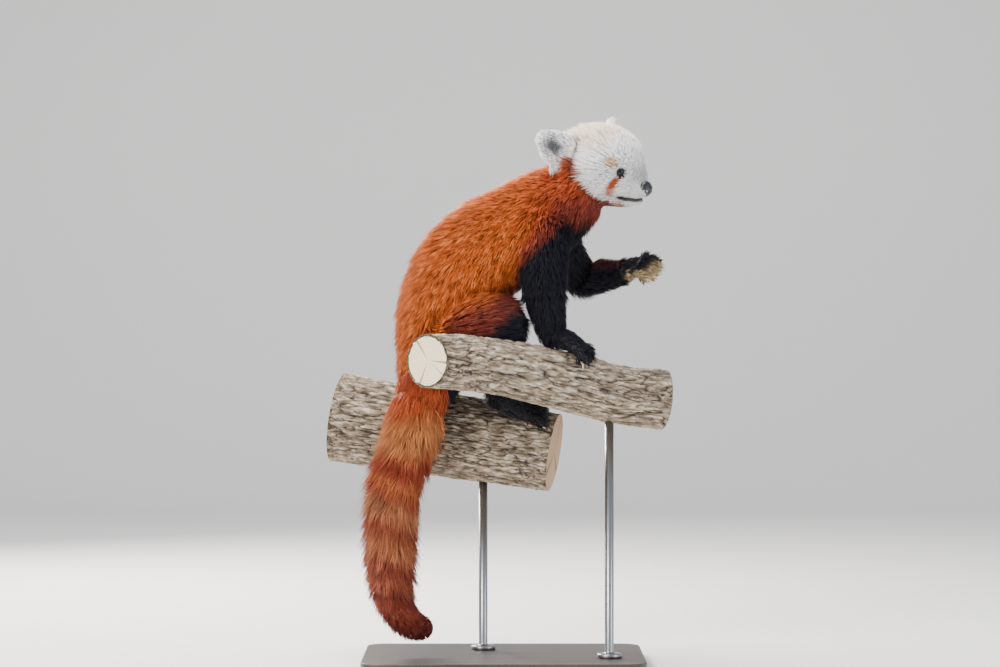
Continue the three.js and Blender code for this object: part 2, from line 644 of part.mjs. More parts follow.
const limbNodes = {
  foreleg_right: ['forepaw_right', rightForearm, rightUpperArm],
  foreleg_left: ['forepaw_left', leftForearm, leftUpperArm],
  hindleg_right: ['hindpaw_right', rightShin, rightThigh],
  hindleg_left: ['hindpaw_left', leftShin, leftThigh],
};
const lowerName = { foreleg: 'forearm', hindleg: 'shin' };
const upperName = { foreleg: 'upper', hindleg: 'thigh' };
const limbNames = [];
for (const [limb, [paw, lower, upper]] of Object.entries(limbNodes)) {
  const [kind, side] = limb.split('_');
  const names = [paw, `${lowerName[kind]}_${side}`, `${kind}_${upperName[kind]}_${side}`];
  const lowerCoat = legCoat(lower, 1, 0.1, 0.5);
  const upperCoat = legCoat(upper);
  piece(names[0], COLOUR.black, (grow) => pawSolid(paws[paw], grow), { clearOf: BRANCHES });
  piece(names[1], COLOUR.black, furred(coreOf(lower), lower, lowerCoat), {
    clearOf: [...BRANCHES, names[0]],
  });
  piece(names[2], COLOUR.black, furred(coreOf(upper), upper, upperCoat), {
    clearOf: [...BRANCHES, 'neck', 'head', ...names.slice(0, 2), ...limbNames],
  });
  limbNames.push(...names);
}
piece('torso', COLOUR.rust, furred(
  (grow) => trunk.solid(grow).intersect(neckPlane(grow)), trunk, coats.torso,
), { clearOf: [...BRANCHES, 'neck', 'head', ...limbNames] });

const tailNames = ['tail_base', 'tail_upper', 'tail_lower', 'tail_tip'];
tailNames.forEach((name, k) => {
  const coat = tailCoat(TAIL_CUTS[k], TAIL_CUTS[k + 1]);
  piece(name, COLOUR.ochre, furred(tailLength(TAIL_CUTS[k], TAIL_CUTS[k + 1]), tail, coat), {
    clearOf: [...BRANCHES, 'torso', ...(k > 0 ? [tailNames[k - 1]] : [])],
  });
});

// The model: one mesh for each piece, on a standing group
const redPanda = new THREE.Group();
for (const [name, { solid, colour, roughness }] of pieces) {
  const metalness = colour === COLOUR.steel ? 0.9 : 0;
  const material = new THREE.MeshStandardMaterial({ color: colour, roughness, metalness });
  const mesh = new THREE.Mesh(geometryOf(solid), material);
  mesh.name = name;
  redPanda.add(mesh);
}

export default redPanda;
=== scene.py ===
import math

import bpy
import numpy as np
from mathutils import Euler, Matrix, Vector, bvhtree, kdtree, noise


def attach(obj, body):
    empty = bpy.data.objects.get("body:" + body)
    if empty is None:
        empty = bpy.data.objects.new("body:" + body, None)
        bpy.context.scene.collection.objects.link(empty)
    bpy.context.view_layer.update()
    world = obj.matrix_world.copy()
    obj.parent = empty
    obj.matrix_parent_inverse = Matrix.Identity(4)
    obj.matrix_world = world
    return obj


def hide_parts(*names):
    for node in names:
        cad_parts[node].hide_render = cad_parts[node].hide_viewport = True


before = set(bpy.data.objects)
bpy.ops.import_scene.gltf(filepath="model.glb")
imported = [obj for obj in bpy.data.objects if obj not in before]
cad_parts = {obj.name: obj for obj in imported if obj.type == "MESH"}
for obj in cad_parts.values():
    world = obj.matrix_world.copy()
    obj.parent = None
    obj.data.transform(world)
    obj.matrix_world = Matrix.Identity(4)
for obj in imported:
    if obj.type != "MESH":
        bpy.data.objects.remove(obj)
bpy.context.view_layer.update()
MM = 0.001

# The camera: it stands where the photograph was taken from, almost four metres from the animal's right
# side, with a long lens held level.
CAMERA_PLACE = (-0.0068, -3.778, 0.4495)
LENS_MM = 100
camera_data = bpy.data.cameras.new("camera")
camera_data.lens = LENS_MM
camera_data.sensor_width = 36
camera_data.clip_end = 50
camera = bpy.data.objects.new("camera", camera_data)
camera.location = CAMERA_PLACE
camera.rotation_euler = (math.radians(90), 0, 0)
bpy.context.collection.objects.link(camera)
bpy.context.scene.camera = camera


# The light: four soft panels as in a studio. One is overhead, one stands beside the camera, one behind the
# animal edges its back with light, and a weak bluish one fills the shade from the right.
def light_panel(name, place, aim, size, watts, tint):
    """A soft square light at place that shines at aim."""
    data = bpy.data.lights.new(name, "AREA")
    data.size = size
    data.energy = watts
    data.color = tint
    panel = bpy.data.objects.new(name, data)
    panel.location = place
    panel.rotation_euler = (Vector(aim) - Vector(place)).to_track_quat("-Z", "Y").to_euler()
    bpy.context.collection.objects.link(panel)


BODY_MIDDLE = (0, 0, 0.5)
light_panel("sky_light", (-0.6, 0.1, 2.6), BODY_MIDDLE, 1.5, 125, (1.0, 0.98, 0.96))
light_panel("window_light", (-1.8, -2.4, 1.7), BODY_MIDDLE, 1.2, 115, (1.0, 0.98, 0.95))
light_panel("back_light", (-1.1, 1.5, 1.3), BODY_MIDDLE, 0.7, 95, (1.0, 0.95, 0.9))
light_panel("side_light", (2.2, -1.2, 0.9), BODY_MIDDLE, 1.2, 26, (0.85, 0.9, 1.0))


# The floor and backdrop: one pale sheet of paper that curves up behind the model, under the even light of
# a bright room. The paper is staged, so it isn't part of the model.
def linear(code):
    """An sRGB hex colour as linear red, green, blue and alpha."""
    parts = [int(code[i : i + 2], 16) / 255 for i in (0, 2, 4)]
    return [c / 12.92 if c <= 0.04045 else ((c + 0.055) / 1.055) ** 2.4 for c in parts] + [1.0]


def add_node(tree, kind, links=None, **settings):
    """A new shader node, with its settings, and with its sockets given a value or a link."""
    new = tree.nodes.new(kind)
    for key, value in settings.items():
        setattr(new, key, value)
    for socket, value in (links or {}).items():
        if isinstance(value, bpy.types.NodeSocket):
            tree.links.new(value, new.inputs[socket])
        else:
            new.inputs[socket].default_value = value
    return new


def new_material(name, **values):
    """An empty material with a Principled shader, whose constant values sit on its own sockets."""
    material = bpy.data.materials.new(name)
    material.use_nodes = True
    shader = material.node_tree.nodes["Principled BSDF"]
    for socket, value in values.items():
        shader.inputs[socket.replace("_", " ")].default_value = value
    return material, material.node_tree, shader


def new_piece(name, points, faces, edges=()):
    """A linked object with a mesh of these points (in metres), edges and faces."""
    piece = bpy.data.objects.new(name, bpy.data.meshes.new(name))
    piece.data.from_pydata(points, edges, faces)
    bpy.context.collection.objects.link(piece)
    return piece


ROOM_TINT, ROOM_STRENGTH = "dfe4ee", 0.75
world = bpy.data.worlds.new("studio")
bpy.context.scene.world = world
world.use_nodes = True
world.node_tree.nodes["Background"].inputs["Color"].default_value = linear(ROOM_TINT)
world.node_tree.nodes["Background"].inputs["Strength"].default_value = ROOM_STRENGTH

PAPER_HALF, PAPER_FRONT, PAPER_BACK, PAPER_BEND, PAPER_TOP = 6.0, -6.0, 3.2, 1.0, 4.5  # metres
PAPER_STEPS = 14
bend = [
    (PAPER_BACK + PAPER_BEND * math.sin(a), PAPER_BEND * (1 - math.cos(a)))
    for a in np.linspace(0, math.pi / 2, PAPER_STEPS)
]
profile = [(PAPER_FRONT, 0.0)] + bend + [(PAPER_BACK + PAPER_BEND, PAPER_TOP)]
paper_points = [(x, y, z) for y, z in profile for x in (-PAPER_HALF, PAPER_HALF)]
paper_faces = [(2 * k, 2 * k + 1, 2 * k + 3, 2 * k + 2) for k in range(len(profile) - 1)]
sweep_paper = new_piece("backdrop", paper_points, paper_faces)
sweep_paper.data.polygons.foreach_set("use_smooth", [True] * len(paper_faces))
paper, _, _ = new_material("matt paper", Base_Color=linear("e6e4e1"), Roughness=0.9)
sweep_paper.data.materials.append(paper)


# The body. Each part is a path of rings inside the outline of the coat: x, y, z, half width, height above
# and below, in millimetres, as the solids have them. The flesh lies under the outline by the coat's depth.
TRUNK = [
    [-116, 2, 362, 52, 32, 40], [-99, 0, 413, 70, 53, 60], [-80, 0, 468, 78, 73, 70],
    [-50, 0, 520, 80, 86, 64], [-12, 0, 560, 76, 83, 62], [27, 0, 590, 70, 72, 66],
    [58, 0, 611, 63, 67, 60], [84, -1, 628, 57, 60, 52], [108, -4, 646, 50, 52, 44],
    [128, -8, 662, 44, 44, 40],
]
TAIL = [
    [-92, -12, 425, 30, 34, 34], [-104, -22, 402, 34, 38, 38], [-111, -27, 376, 37, 43, 43],
    [-118, -28, 346, 38, 46, 46], [-131, -28, 299, 38, 42, 42], [-147, -27, 252, 37, 37, 37],
    [-153, -26, 204, 36, 36, 36], [-154, -25, 164, 35, 35, 35], [-154, -24, 122, 30, 30, 30],
    [-150, -24, 92, 25, 25, 25], [-138, -24, 67, 22, 22, 22], [-119, -26, 53, 17, 17, 17],
    [-103, -28, 51, 10, 10, 10],
]
TAIL_FLESH = 11  # radius of the thin tail inside its thick coat
TAIL_TAPER = 0.12  # and the share of the outline's swelling that it follows
RIGHT_UPPER_ARM = [[56, -34, 592, 36], [52, -48, 552, 35], [52, -58, 512, 32]]
RIGHT_FOREARM = [[52, -59, 506, 31], [57, -62, 476, 26], [62, -63, 452, 22]]
LEFT_UPPER_ARM = [[64, 34, 588, 36], [84, 48, 554, 31], [104, 54, 526, 27]]
LEFT_FOREARM = [[106, 54, 524, 27], [130, 45, 528, 25], [152, 33, 531, 20.5]]
RIGHT_THIGH = [[-74, -40, 452, 42], [-38, -52, 462, 46], [-4, -58, 467, 37]]
LEFT_THIGH = [[x, -y, z, r] for x, y, z, r in RIGHT_THIGH]
RIGHT_SHIN = [[2, -54, 456, 30], [-2, -30, 420, 25], [-12, -5, 380, 19]]
LEFT_SHIN = [[2, 56, 456, 30], [0, 67, 420, 25], [-11, 80, 388, 19]]
BODY_COAT, LEG_COAT, PAW_COAT = 17, 11, 3.5  # depth of the coat in mm
THIGH_COAT, LOWER_LEG_COAT = LEG_COAT + 2, LEG_COAT * 0.8
ACROSS = np.array([0.0, 1.0, 0.0])


def spline(stations, shares):
    """Smooth values between stations (a Catmull-Rom spline), at shares from 0 to 1 of the way."""
    table = np.array([s + [s[3], s[3]] if len(s) == 4 else s for s in stations], float)
    t = np.clip(np.asarray(shares, float), 0, 1) * (len(table) - 1)
    i = np.minimum(t.astype(int), len(table) - 2)
    f = (t - i)[:, None]
    a, b, c, d = (table[np.clip(i + k, 0, len(table) - 1)] for k in (-1, 0, 1, 2))
    return 0.5 * (2 * b + (c - a) * f + (2 * a - 5 * b + 4 * c - d) * f**2 + (3 * b - a - 3 * c + d) * f**3)


def unit(vectors):
    return vectors / np.maximum(np.linalg.norm(vectors, axis=-1, keepdims=True), 1e-9)


def path_frames(stations, shares, side):
    """Centres, the three directions (along, across, up) and radii along a path."""
    values = spline(stations, shares)
    step = 0.01  # share of the path over which its direction is taken
    ahead = spline(stations, np.minimum(shares + step, 1)) - spline(stations, np.maximum(shares - step, 0))
    along = unit(ahead[:, :3])
    across = unit(side - along * (along @ side)[:, None])
    return values, along, across, np.cross(along, across)


def deselect_all():
    for each in bpy.context.selected_objects:
        each.select_set(False)


def fill_ends():
    bpy.ops.mesh.fill_holes(sides=0)


def face_outward():
    bpy.ops.mesh.normals_make_consistent(inside=False)


def in_edit_mode(piece, *steps):
    """Opens a piece in edit mode and takes each step with the whole of it selected."""
    deselect_all()
    piece.select_set(True)
    bpy.context.view_layer.objects.active = piece
    bpy.ops.object.mode_set(mode="EDIT")
    for step in steps:
        bpy.ops.mesh.select_all(action="SELECT")
        step()
    bpy.ops.object.mode_set(mode="OBJECT")


ROUND_END = [(0.55, 0.84), (0.9, 0.44)]  # how far out the rings of a rounded end lie, and their size
LEAST_RADIUS = 0.5


def loft(name, stations, side=ACROSS, count=10, sides=20, depth=0.0, dome=(0.6, 0.6), place=Matrix()):
    """Rings of vertices set along a path, bridged to one skin and closed with rounded ends."""
    shares = np.linspace(0, 1, count)
    values, along, across, up = path_frames(stations, shares, side)
    rings = []
    for k in range(count):
        width, above, below = values[k, 3:6] - depth
        centre = values[k, :3] + up[k] * (above - below) / 2
        rings.append((centre, along[k], across[k], up[k], width, (above + below) / 2))
    for end, reach in ((0, -dome[0]), (-1, dome[1])):
        centre, ahead, over, top, width, height = rings[end]
        caps = [(centre + ahead * reach * width * far, ahead, over, top, width * part, height * part)
                for far, part in ROUND_END]
        rings = caps[::-1] + rings if end == 0 else rings + caps
    turns = np.linspace(0, 2 * math.pi, sides, endpoint=False)
    points, edges = [], []
    for centre, _, over, top, width, height in rings:
        first = len(points)
        wide, high = max(width, LEAST_RADIUS), max(height, LEAST_RADIUS)
        for k, turn in enumerate(turns):
            point = centre + over * wide * math.cos(turn) + top * high * math.sin(turn)
            points.append(place @ Vector(point * MM))
            edges.append((first + k, first + (k + 1) % sides))
    shape = new_piece(name, points, [], edges)
    in_edit_mode(shape, bpy.ops.mesh.bridge_edge_loops, fill_ends, face_outward)
    return shape


def join_all(shapes, name):
    deselect_all()
    for shape in shapes:
        shape.select_set(True)
    bpy.context.view_layer.objects.active = shapes[0]
    bpy.ops.object.join()
    shapes[0].name = name
    return shapes[0]


def apply_modifier(piece, kind, **settings):
    modifier = piece.modifiers.new(kind.lower(), kind)
    for key, value in settings.items():
        setattr(modifier, key, value)
    bpy.context.view_layer.objects.active = piece
    bpy.ops.object.modifier_apply(modifier=modifier.name)


# A paw is a pad with five toes, each ending in a curved claw. wrist, middle and front are points along it,
# and spread is the direction from its one side to the other.
PAWS = {
    "forepaw_right": dict(wrist=(65, -64, 446), middle=(85, -66, 438), front=(101, -71, 428),
                          spread=(0.33, 0.94, 0.1), radius=20, toe=20, down=0.55),
    "forepaw_left": dict(wrist=(158, 29, 532), middle=(174, 18, 538), front=(184, 9, 541),
                         spread=(0.45, 0.65, 0.62), radius=18, toe=20, down=0.8),
    "hindpaw_right": dict(wrist=(-14, 1, 364), middle=(16, 8, 348), front=(40, 11, 342),
                          spread=(0, 0.8, 0.6), radius=19, toe=20, down=0.35),
    "hindpaw_left": dict(wrist=(-13, 84, 372), middle=(16, 78, 354), front=(40, 74, 347),
                         spread=(0, 0.89, -0.45), radius=19, toe=20, down=0.35),
}
TOES = 5


def paw_paths(wrist, middle, front, spread, radius, toe, down):
    """The path of the pad and, for each toe, its own path and that of its claw."""
    wrist, middle, front = (np.array(p, float) for p in (wrist, middle, front))
    spread = unit(np.array(spread, float))
    pad = [
        [*wrist, radius * 0.95, radius * 0.85, radius * 0.8],
        [*middle, radius * 1.1, radius * 0.7, radius * 0.62],
        [*front, radius * 1.05, radius * 0.52, radius * 0.48],
    ]
    forward = unit(front - middle)
    lower = unit(np.cross(spread, forward))
    lower = -lower if lower[2] > 0 else lower
    digits = []
    for k in range(TOES):
        place = (k - 2) / 2
        reach = toe * (1 - 0.16 * place * place)
        start = front + spread * place * radius * 0.82 - forward * toe * 0.25
        fan = unit(forward + spread * place * 0.2)
        knuckle = start + fan * reach * 0.55 - lower * 1.5
        tip = start + fan * reach + lower * reach * down
        claw = [[*(tip - fan * 3), 2.4], [*(tip + fan * 2.5 - lower * 0.3), 2.2],
                [*(tip + fan * 6 + lower * 1.5), 1.7], [*(tip + fan * 8 + lower * 5), 0.9],
                [*(tip + fan * 8.2 + lower * 7), 0.3]]
        digits.append(([[*start, 5.4], [*knuckle, 6.1], [*tip, 5.2]], claw))
    return pad, digits, spread


def paw_shapes(name):
    pad, digits, spread = paw_paths(**PAWS[name])
    shapes = [loft(name, pad, side=spread, count=7, depth=PAW_COAT, dome=(0.7, 0.6))]
    shapes += [loft("toe", path, side=spread, count=6, sides=12, depth=0.8) for path, _ in digits]
    return shapes


# The head, in its own frame: the origin lies between the eyes, x forward, y to its left, z up.
HEAD_PLACE = Matrix.Translation(Vector((171, -30, 669)) * MM) @ Euler(
    (math.radians(10), math.radians(14), math.radians(-36)), "XYZ"
).to_matrix().to_4x4()
SKULL = [
    [-84, 0, -4, 38, 33, 32], [-70, 0, -4, 52, 52, 42], [-50, 0, -6, 61, 60, 46],
    [-30, 0, -9, 59, 59, 45], [-13, 0, -12, 46, 49, 38], [0, 0, -15, 33, 34, 27],
    [10, 0, -19, 25, 17, 17], [20, 0, -22, 18.5, 12, 12.5], [27, 0, -23, 14, 9, 8.5],
]
SKULL_COAT = [10, 10, 10, 9, 6, 3.4, 2, 1.6, 1.4]  # depth of the hair at each of those
JAW = [[-34, 0, -38, 31, 10, 13], [-12, 0, -41, 22, 8, 9], [4, 0, -41, 15, 7, 8], [16, 0, -38, 10.5, 6, 6]]
JAW_COAT = [3, 2, 1.5, 1.2]
EYE = np.array([-5.3, 22.0, 0.5])
EYE_RADIUS = 8.0
MOUTH_CORNER = -10
MOUTH_LINE = [[MOUTH_CORNER, -36.5], [0, -38.0], [12, -37.3], [20, -36.0], [27, -34.5], [38, -32.0]]
NOSE_AT, NOSE_RADII = (25.0, 0, -20.3), (9.0, 11.5, 11.5)
EAR_BASE, EAR_TIP = np.array([-66, 46, 6.0]), np.array([-96, 81, 37.0])
EAR_OPENING = np.array([0.9, 0.4, -0.06])  # the direction in which the left ear's cup looks


def bare(stations, coat):
    """The stations of the flesh under a coat whose depth is given at each."""
    return [s[:3] + [r - depth for r in s[3:]] for s, depth in zip(stations, coat)]


def ear_paths(side):
    """The path of an ear's lobe and of the hollow in it. side is -1 for the right ear."""
    mirror = np.array([1, side, 1])
    base, tip, opening = EAR_BASE * mirror, EAR_TIP * mirror, EAR_OPENING * mirror
    along = unit(tip - base)
    opening = unit(opening - along * (opening @ along))
    across = unit(np.cross(opening, along))

    def station(share, push, *radii):
        return [*(base + (tip - base) * share + opening * push), *radii]

    lobe = [station(-0.15, 0, 12, 8, 9), station(0, 0, 15, 8, 9), station(0.3, 0, 20, 8, 9),
            station(0.62, 0, 19, 5, 7), station(0.86, 0, 11, 3.5, 4.5)]
    cup = [station(0.14, 6, 8, 8, 7), station(0.4, 6, 15, 11, 9), station(0.64, 5, 14.5, 10, 7.5),
           station(0.84, 4.5, 7, 7, 4.5)]
    return lobe, cup, across


def ear_shape(side):
    lobe, cup, across = ear_paths(side)
    ear = loft("ear", lobe, side=across, count=10, sides=24, place=HEAD_PLACE, dome=(0.4, 0.8))
    hollow = loft("hollow", cup, side=across, count=8, sides=20, place=HEAD_PLACE)
    apply_modifier(ear, "BOOLEAN", operation="DIFFERENCE", object=hollow, solver="EXACT")
    bpy.data.objects.remove(hollow)
    return ear


tail_flesh = [s[:3] + [TAIL_FLESH + (r - TAIL_FLESH) * TAIL_TAPER for r in s[3:]] for s in TAIL]
flesh = [
    loft("trunk", TRUNK, count=20, sides=32, depth=BODY_COAT),
    loft("tail", tail_flesh, count=30, sides=16),
    loft("upper_arm", RIGHT_UPPER_ARM, depth=LEG_COAT),
    loft("forearm", RIGHT_FOREARM, depth=LOWER_LEG_COAT),
    loft("upper_arm", LEFT_UPPER_ARM, depth=LEG_COAT),
    loft("forearm", LEFT_FOREARM, depth=LOWER_LEG_COAT),
    loft("thigh", RIGHT_THIGH, depth=THIGH_COAT),
    loft("thigh", LEFT_THIGH, depth=THIGH_COAT),
    loft("shin", RIGHT_SHIN, depth=LOWER_LEG_COAT),
    loft("shin", LEFT_SHIN, depth=LOWER_LEG_COAT),
    loft("skull", bare(SKULL, SKULL_COAT), count=22, sides=36, place=HEAD_PLACE, dome=(0.6, 0.4)),
    loft("jaw", bare(JAW, JAW_COAT), count=8, sides=20, place=HEAD_PLACE, dome=(0.4, 0.5)),
    ear_shape(-1),
    ear_shape(1),
]
for paw_name in PAWS:
    flesh += paw_shapes(paw_name)
skin = join_all(flesh, "skin")
SKIN_VOXEL = 2.3 * MM
apply_modifier(skin, "REMESH", mode="VOXEL", voxel_size=SKIN_VOXEL, adaptivity=0.0)
apply_modifier(skin, "SMOOTH", factor=0.5, iterations=4)


def vertices_of(piece):
    flat = np.empty(len(piece.data.vertices) * 3)
    piece.data.vertices.foreach_get("co", flat)
    return flat.reshape(-1, 3)


def set_vertices(piece, points):
    piece.data.vertices.foreach_set("co", np.asarray(points, float).ravel())
    piece.data.update()


HEAD_TURN = np.array(HEAD_PLACE.to_3x3())
HEAD_ORIGIN = np.array(HEAD_PLACE.to_translation())


def to_head(points):
    """World points in metres as millimetres in the head's frame."""
    return (points - HEAD_ORIGIN) @ HEAD_TURN / MM


def from_head(points):
    return np.asarray(points) * MM @ HEAD_TURN.T + HEAD_ORIGIN


def ramp(low, high, values):
    """0 below low, 1 above high and a smooth rise between."""
    t = np.clip((values - low) / (high - low), 0, 1)
    return t * t * (3 - 2 * t)


def mouth_height(x):
    line = np.array(MOUTH_LINE)
    return np.interp(x, line[:, 0], line[:, 1])


def eye_axes(side):
    """Forward, sideways and upward directions of an eye, in the head's frame."""
    forward = unit(np.array([0.83, side * 0.56, 0.03]))
    sideways = unit(np.cross([0, 0, 1.0], forward))
    return forward, sideways, np.cross(forward, sideways)


# The face is then shaped: the skin is pushed back where the eyes look out, and pressed in along the
# mouth, so that it lies round the eyes as lids and closes on a line between the lips.
EYE_OPENING = (6.9, 5.6)  # half width and half height
EYE_SOCKET = 5.5  # distance of the skin behind the eyeball from its middle
LID_THICK = 1.2
EYE_NEAR = 16  # how far from the eye's middle its lids reach at most
GROOVE_WIDTH, GROOVE_DEEP = 1.5, 2.2


def almond_share(away, side, margin=(0, 0)):
    """1 on the outline of an eye's opening widened by the margin, less inside it, and the distance ahead."""
    forward, sideways, up = eye_axes(side)
    wide, high = EYE_OPENING[0] + margin[0], EYE_OPENING[1] + margin[1]
    return ((away @ sideways) / wide) ** 2 + ((away @ up) / high) ** 2, away @ forward


skin_points = vertices_of(skin)
local = to_head(skin_points)
for side in (-1, 1):
    centre = EYE * [1, side, 1]
    away = local - centre
    distance = np.linalg.norm(away, axis=1)
    almond, ahead = almond_share(away, side)
    front = (ahead > 0) & (distance < EYE_NEAR)
    inside = front & (almond < 1.0)
    local[inside] = centre + unit(away[inside]) * EYE_SOCKET
    round_eye = front & ~inside & (distance < EYE_RADIUS + LID_THICK)
    local[round_eye] = centre + unit(away[round_eye]) * (EYE_RADIUS + LID_THICK)
x, z = local[:, 0], local[:, 2]
groove = np.exp(-(((z - mouth_height(x)) / GROOVE_WIDTH) ** 2)) * ramp(MOUTH_CORNER - 2, MOUTH_CORNER + 6, x)
groove *= (np.abs(local[:, 1]) < 45) & (x < 36)
middle_line = np.stack([np.minimum(x, 22), np.zeros(len(x)), mouth_height(x)], 1)
local -= unit(local - middle_line) * (groove * GROOVE_DEEP)[:, None]
moved = (groove > 1e-3)[:, None] | (np.abs(local - to_head(skin_points)) > 1e-6)
skin_points = np.where(moved, from_head(local), skin_points)
set_vertices(skin, skin_points)
apply_modifier(skin, "SMOOTH", factor=0.3, iterations=1)


# The lie, depth and colours of the coat. Each place on the skin belongs to the path that it is nearest to.
# Hair lies from the nape to the rump, down each leg, out along the tail, and back from the nose.
def paw_path(name):
    pad, _, _ = paw_paths(**PAWS[name])
    return pad


GROUPS = ["trunk", "tail", "right_arm", "left_arm", "right_leg", "left_leg", "paw", "head"]
BONES = [  # path, group, coat depth, +1 where hair lies towards the path's end
    (TRUNK, "trunk", BODY_COAT, -1), (TAIL, "tail", 0, 1),
    (RIGHT_UPPER_ARM, "right_arm", LEG_COAT, 1), (RIGHT_FOREARM, "right_arm", LOWER_LEG_COAT, 1),
    (LEFT_UPPER_ARM, "left_arm", LEG_COAT, 1), (LEFT_FOREARM, "left_arm", LOWER_LEG_COAT, 1),
    (RIGHT_THIGH, "right_leg", THIGH_COAT, 1), (LEFT_THIGH, "left_leg", THIGH_COAT, 1),
    (RIGHT_SHIN, "right_leg", LOWER_LEG_COAT, 1), (LEFT_SHIN, "left_leg", LOWER_LEG_COAT, 1),
] + [(paw_path(name), "paw", PAW_COAT, 1) for name in PAWS]
BONE_STEPS = 40
BLOCK = 4000  # places measured at a time, to spare memory


def bone_samples():
    centres, radii, flows, groups, depths = [], [], [], [], []
    for path, group, depth, sense in BONES:
        shares = np.linspace(0, 1, BONE_STEPS)
        values, along, _, _ = path_frames(path, shares, ACROSS)
        centres.append(values[:, :3])
        radii.append(values[:, 3:6].mean(axis=1))
        flows.append(along * sense)
        groups.append(np.full(BONE_STEPS, GROUPS.index(group)))
        depths.append(values[:, 3] - TAIL_FLESH if group == "tail" else np.full(BONE_STEPS, float(depth)))
    values = spline(SKULL, np.linspace(0, 1, BONE_STEPS))
    centres.append(from_head(values[:, :3]) / MM)
    radii.append(values[:, 3:6].mean(axis=1))
    flows.append(np.zeros((BONE_STEPS, 3)))
    groups.append(np.full(BONE_STEPS, GROUPS.index("head")))
    depths.append(np.zeros(BONE_STEPS))
    return [np.concatenate(part) for part in (centres, radii, flows, groups, depths)]


def nearest_bone(points):
    """The index of the path sample that each point (in mm) lies nearest to, for its thickness."""
    best = np.empty(len(points), int)
    for start in range(0, len(points), BLOCK):
        block = points[start : start + BLOCK]
        gap = np.linalg.norm(block[:, None] - bone_centres[None], axis=2) / bone_radii[None]
        best[start : start + BLOCK] = gap.argmin(axis=1)
    return best


def face_depth(place):
    """Depth of the hair of the head at places in its own frame, in mm."""
    x, y, z = place[:, 0], np.abs(place[:, 1]), place[:, 2]
    along = np.array([s[0] for s in SKULL], float)
    depth = np.interp(x, along, SKULL_COAT)
    depth += 6 * ramp(38, 56, y) * ramp(-6, -22, z) * ramp(5, -20, x)
    to_eye = np.linalg.norm(np.stack([x, y, z], 1) - EYE, axis=1)
    depth = np.where(to_eye < 17, np.minimum(depth, 1.0 + (to_eye - 8) * 0.3), depth)
    at_mouth = np.interp(x, [-24, 0, 30], [3, 1.3, 1.0])
    depth = np.where(np.abs(z - mouth_height(x)) < 7, np.minimum(depth, at_mouth), depth)
    return np.maximum(depth, 1.0)


BARE_LID, BARE_NOSE = (2.7, 2.6), 2.4  # width of the hairless rim round the eyes and the nose


def bare_face(place):
    """True at places in the head's frame where no hair roots: the eye openings, the nose and the lips."""
    x, y, z = place.T
    bare_skin = np.zeros(len(place), bool)
    for side in (-1, 1):
        away = place - EYE * [1, side, 1]
        almond, ahead = almond_share(away, side, BARE_LID)
        bare_skin |= (almond < 1) & (ahead > 0) & (np.linalg.norm(away, axis=1) < 18)
    bare_skin |= np.linalg.norm((place - NOSE_AT) / (np.array(NOSE_RADII) + BARE_NOSE), axis=1) < 1
    on_lips = (np.abs(z - mouth_height(x) - 0.4) < 1.9) & (x > MOUTH_CORNER + 2) & (np.abs(y) < 40)
    return bare_skin | on_lips


MUZZLE_FRONT = np.array([36.0, 0, -20])


def face_flow(place):
    """Direction of the hair of the head: back from the nose, parting under the eyes and down the cheeks."""
    x, y, z = place[:, 0], place[:, 1], place[:, 2]
    away = place - MUZZLE_FRONT
    flow = unit(away * [1, 1, 0.8]) + np.array([-0.5, 0, 0])
    cheek = ramp(25, 50, np.abs(y)) * ramp(10, -20, z)
    flow[:, 2] -= 0.7 * cheek
    flow[:, 1] += 0.3 * cheek * np.sign(y)
    return unit(flow)


def ear_share(place):
    """How far up an ear a place is: 0 at its root and 1 at its tip, and how far in front of its middle."""
    side = np.where(place[:, 1] < 0, -1, 1)[:, None]
    mirror = np.concatenate([np.ones_like(side), side, np.ones_like(side)], 1)
    local_place = place * mirror
    axis = EAR_TIP - EAR_BASE
    share = (local_place - EAR_BASE) @ axis / (axis @ axis)
    beside = np.linalg.norm(local_place - EAR_BASE - share[:, None] * axis, axis=1)
    opening = unit(EAR_OPENING - axis * (EAR_OPENING @ axis) / (axis @ axis))
    return share, beside, (local_place - EAR_BASE) @ opening


bone_centres, bone_radii, bone_flows, bone_groups, bone_depths = bone_samples()


def smooth_over(values, edges, rounds):
    """Averages per-vertex values with their neighbours along the mesh."""
    counts = np.bincount(edges.ravel(), minlength=len(values)).astype(float) + 1
    for _ in range(rounds):
        total = values.copy()
        for k in range(values.shape[1]):
            total[:, k] += np.bincount(edges[:, 0], values[edges[:, 1], k], len(values))
            total[:, k] += np.bincount(edges[:, 1], values[edges[:, 0], k], len(values))
        values = total / counts[:, None]
    return values


def edges_of(piece):
    flat = np.empty(len(piece.data.edges) * 2, int)
    piece.data.edges.foreach_get("vertices", flat)
    return flat.reshape(-1, 2)


skin_points = vertices_of(skin)
skin_normals = np.empty(len(skin_points) * 3)
skin.data.vertices.foreach_get("normal", skin_normals)
skin_normals = skin_normals.reshape(-1, 3)
skin_edges = edges_of(skin)
nearest = nearest_bone(skin_points / MM)
group = bone_groups[nearest]
in_head = to_head(skin_points)
ear_along, ear_beside, ear_front = ear_share(in_head)
ear_floor = np.where(ear_along > 0.1, -4, 8)
on_ear = (ear_along > -0.1) & (ear_beside < 30) & (np.abs(in_head[:, 1]) > 46) & (in_head[:, 2] > ear_floor)
group[on_ear] = GROUPS.index("head")
NAPE_DEPTH = 7  # mm more hair behind the crown, where the head's coat passes into the neck's
flow = bone_flows[nearest].copy()
depth = bone_depths[nearest].copy()
is_head = group == GROUPS.index("head")
flow[is_head] = face_flow(in_head[is_head]) @ HEAD_TURN.T
depth[is_head] = face_depth(in_head[is_head]) + NAPE_DEPTH * ramp(-40, -72, in_head[is_head][:, 0])
is_trunk = group == GROUPS.index("trunk")
flow[is_trunk] += [0, 0, -0.45]
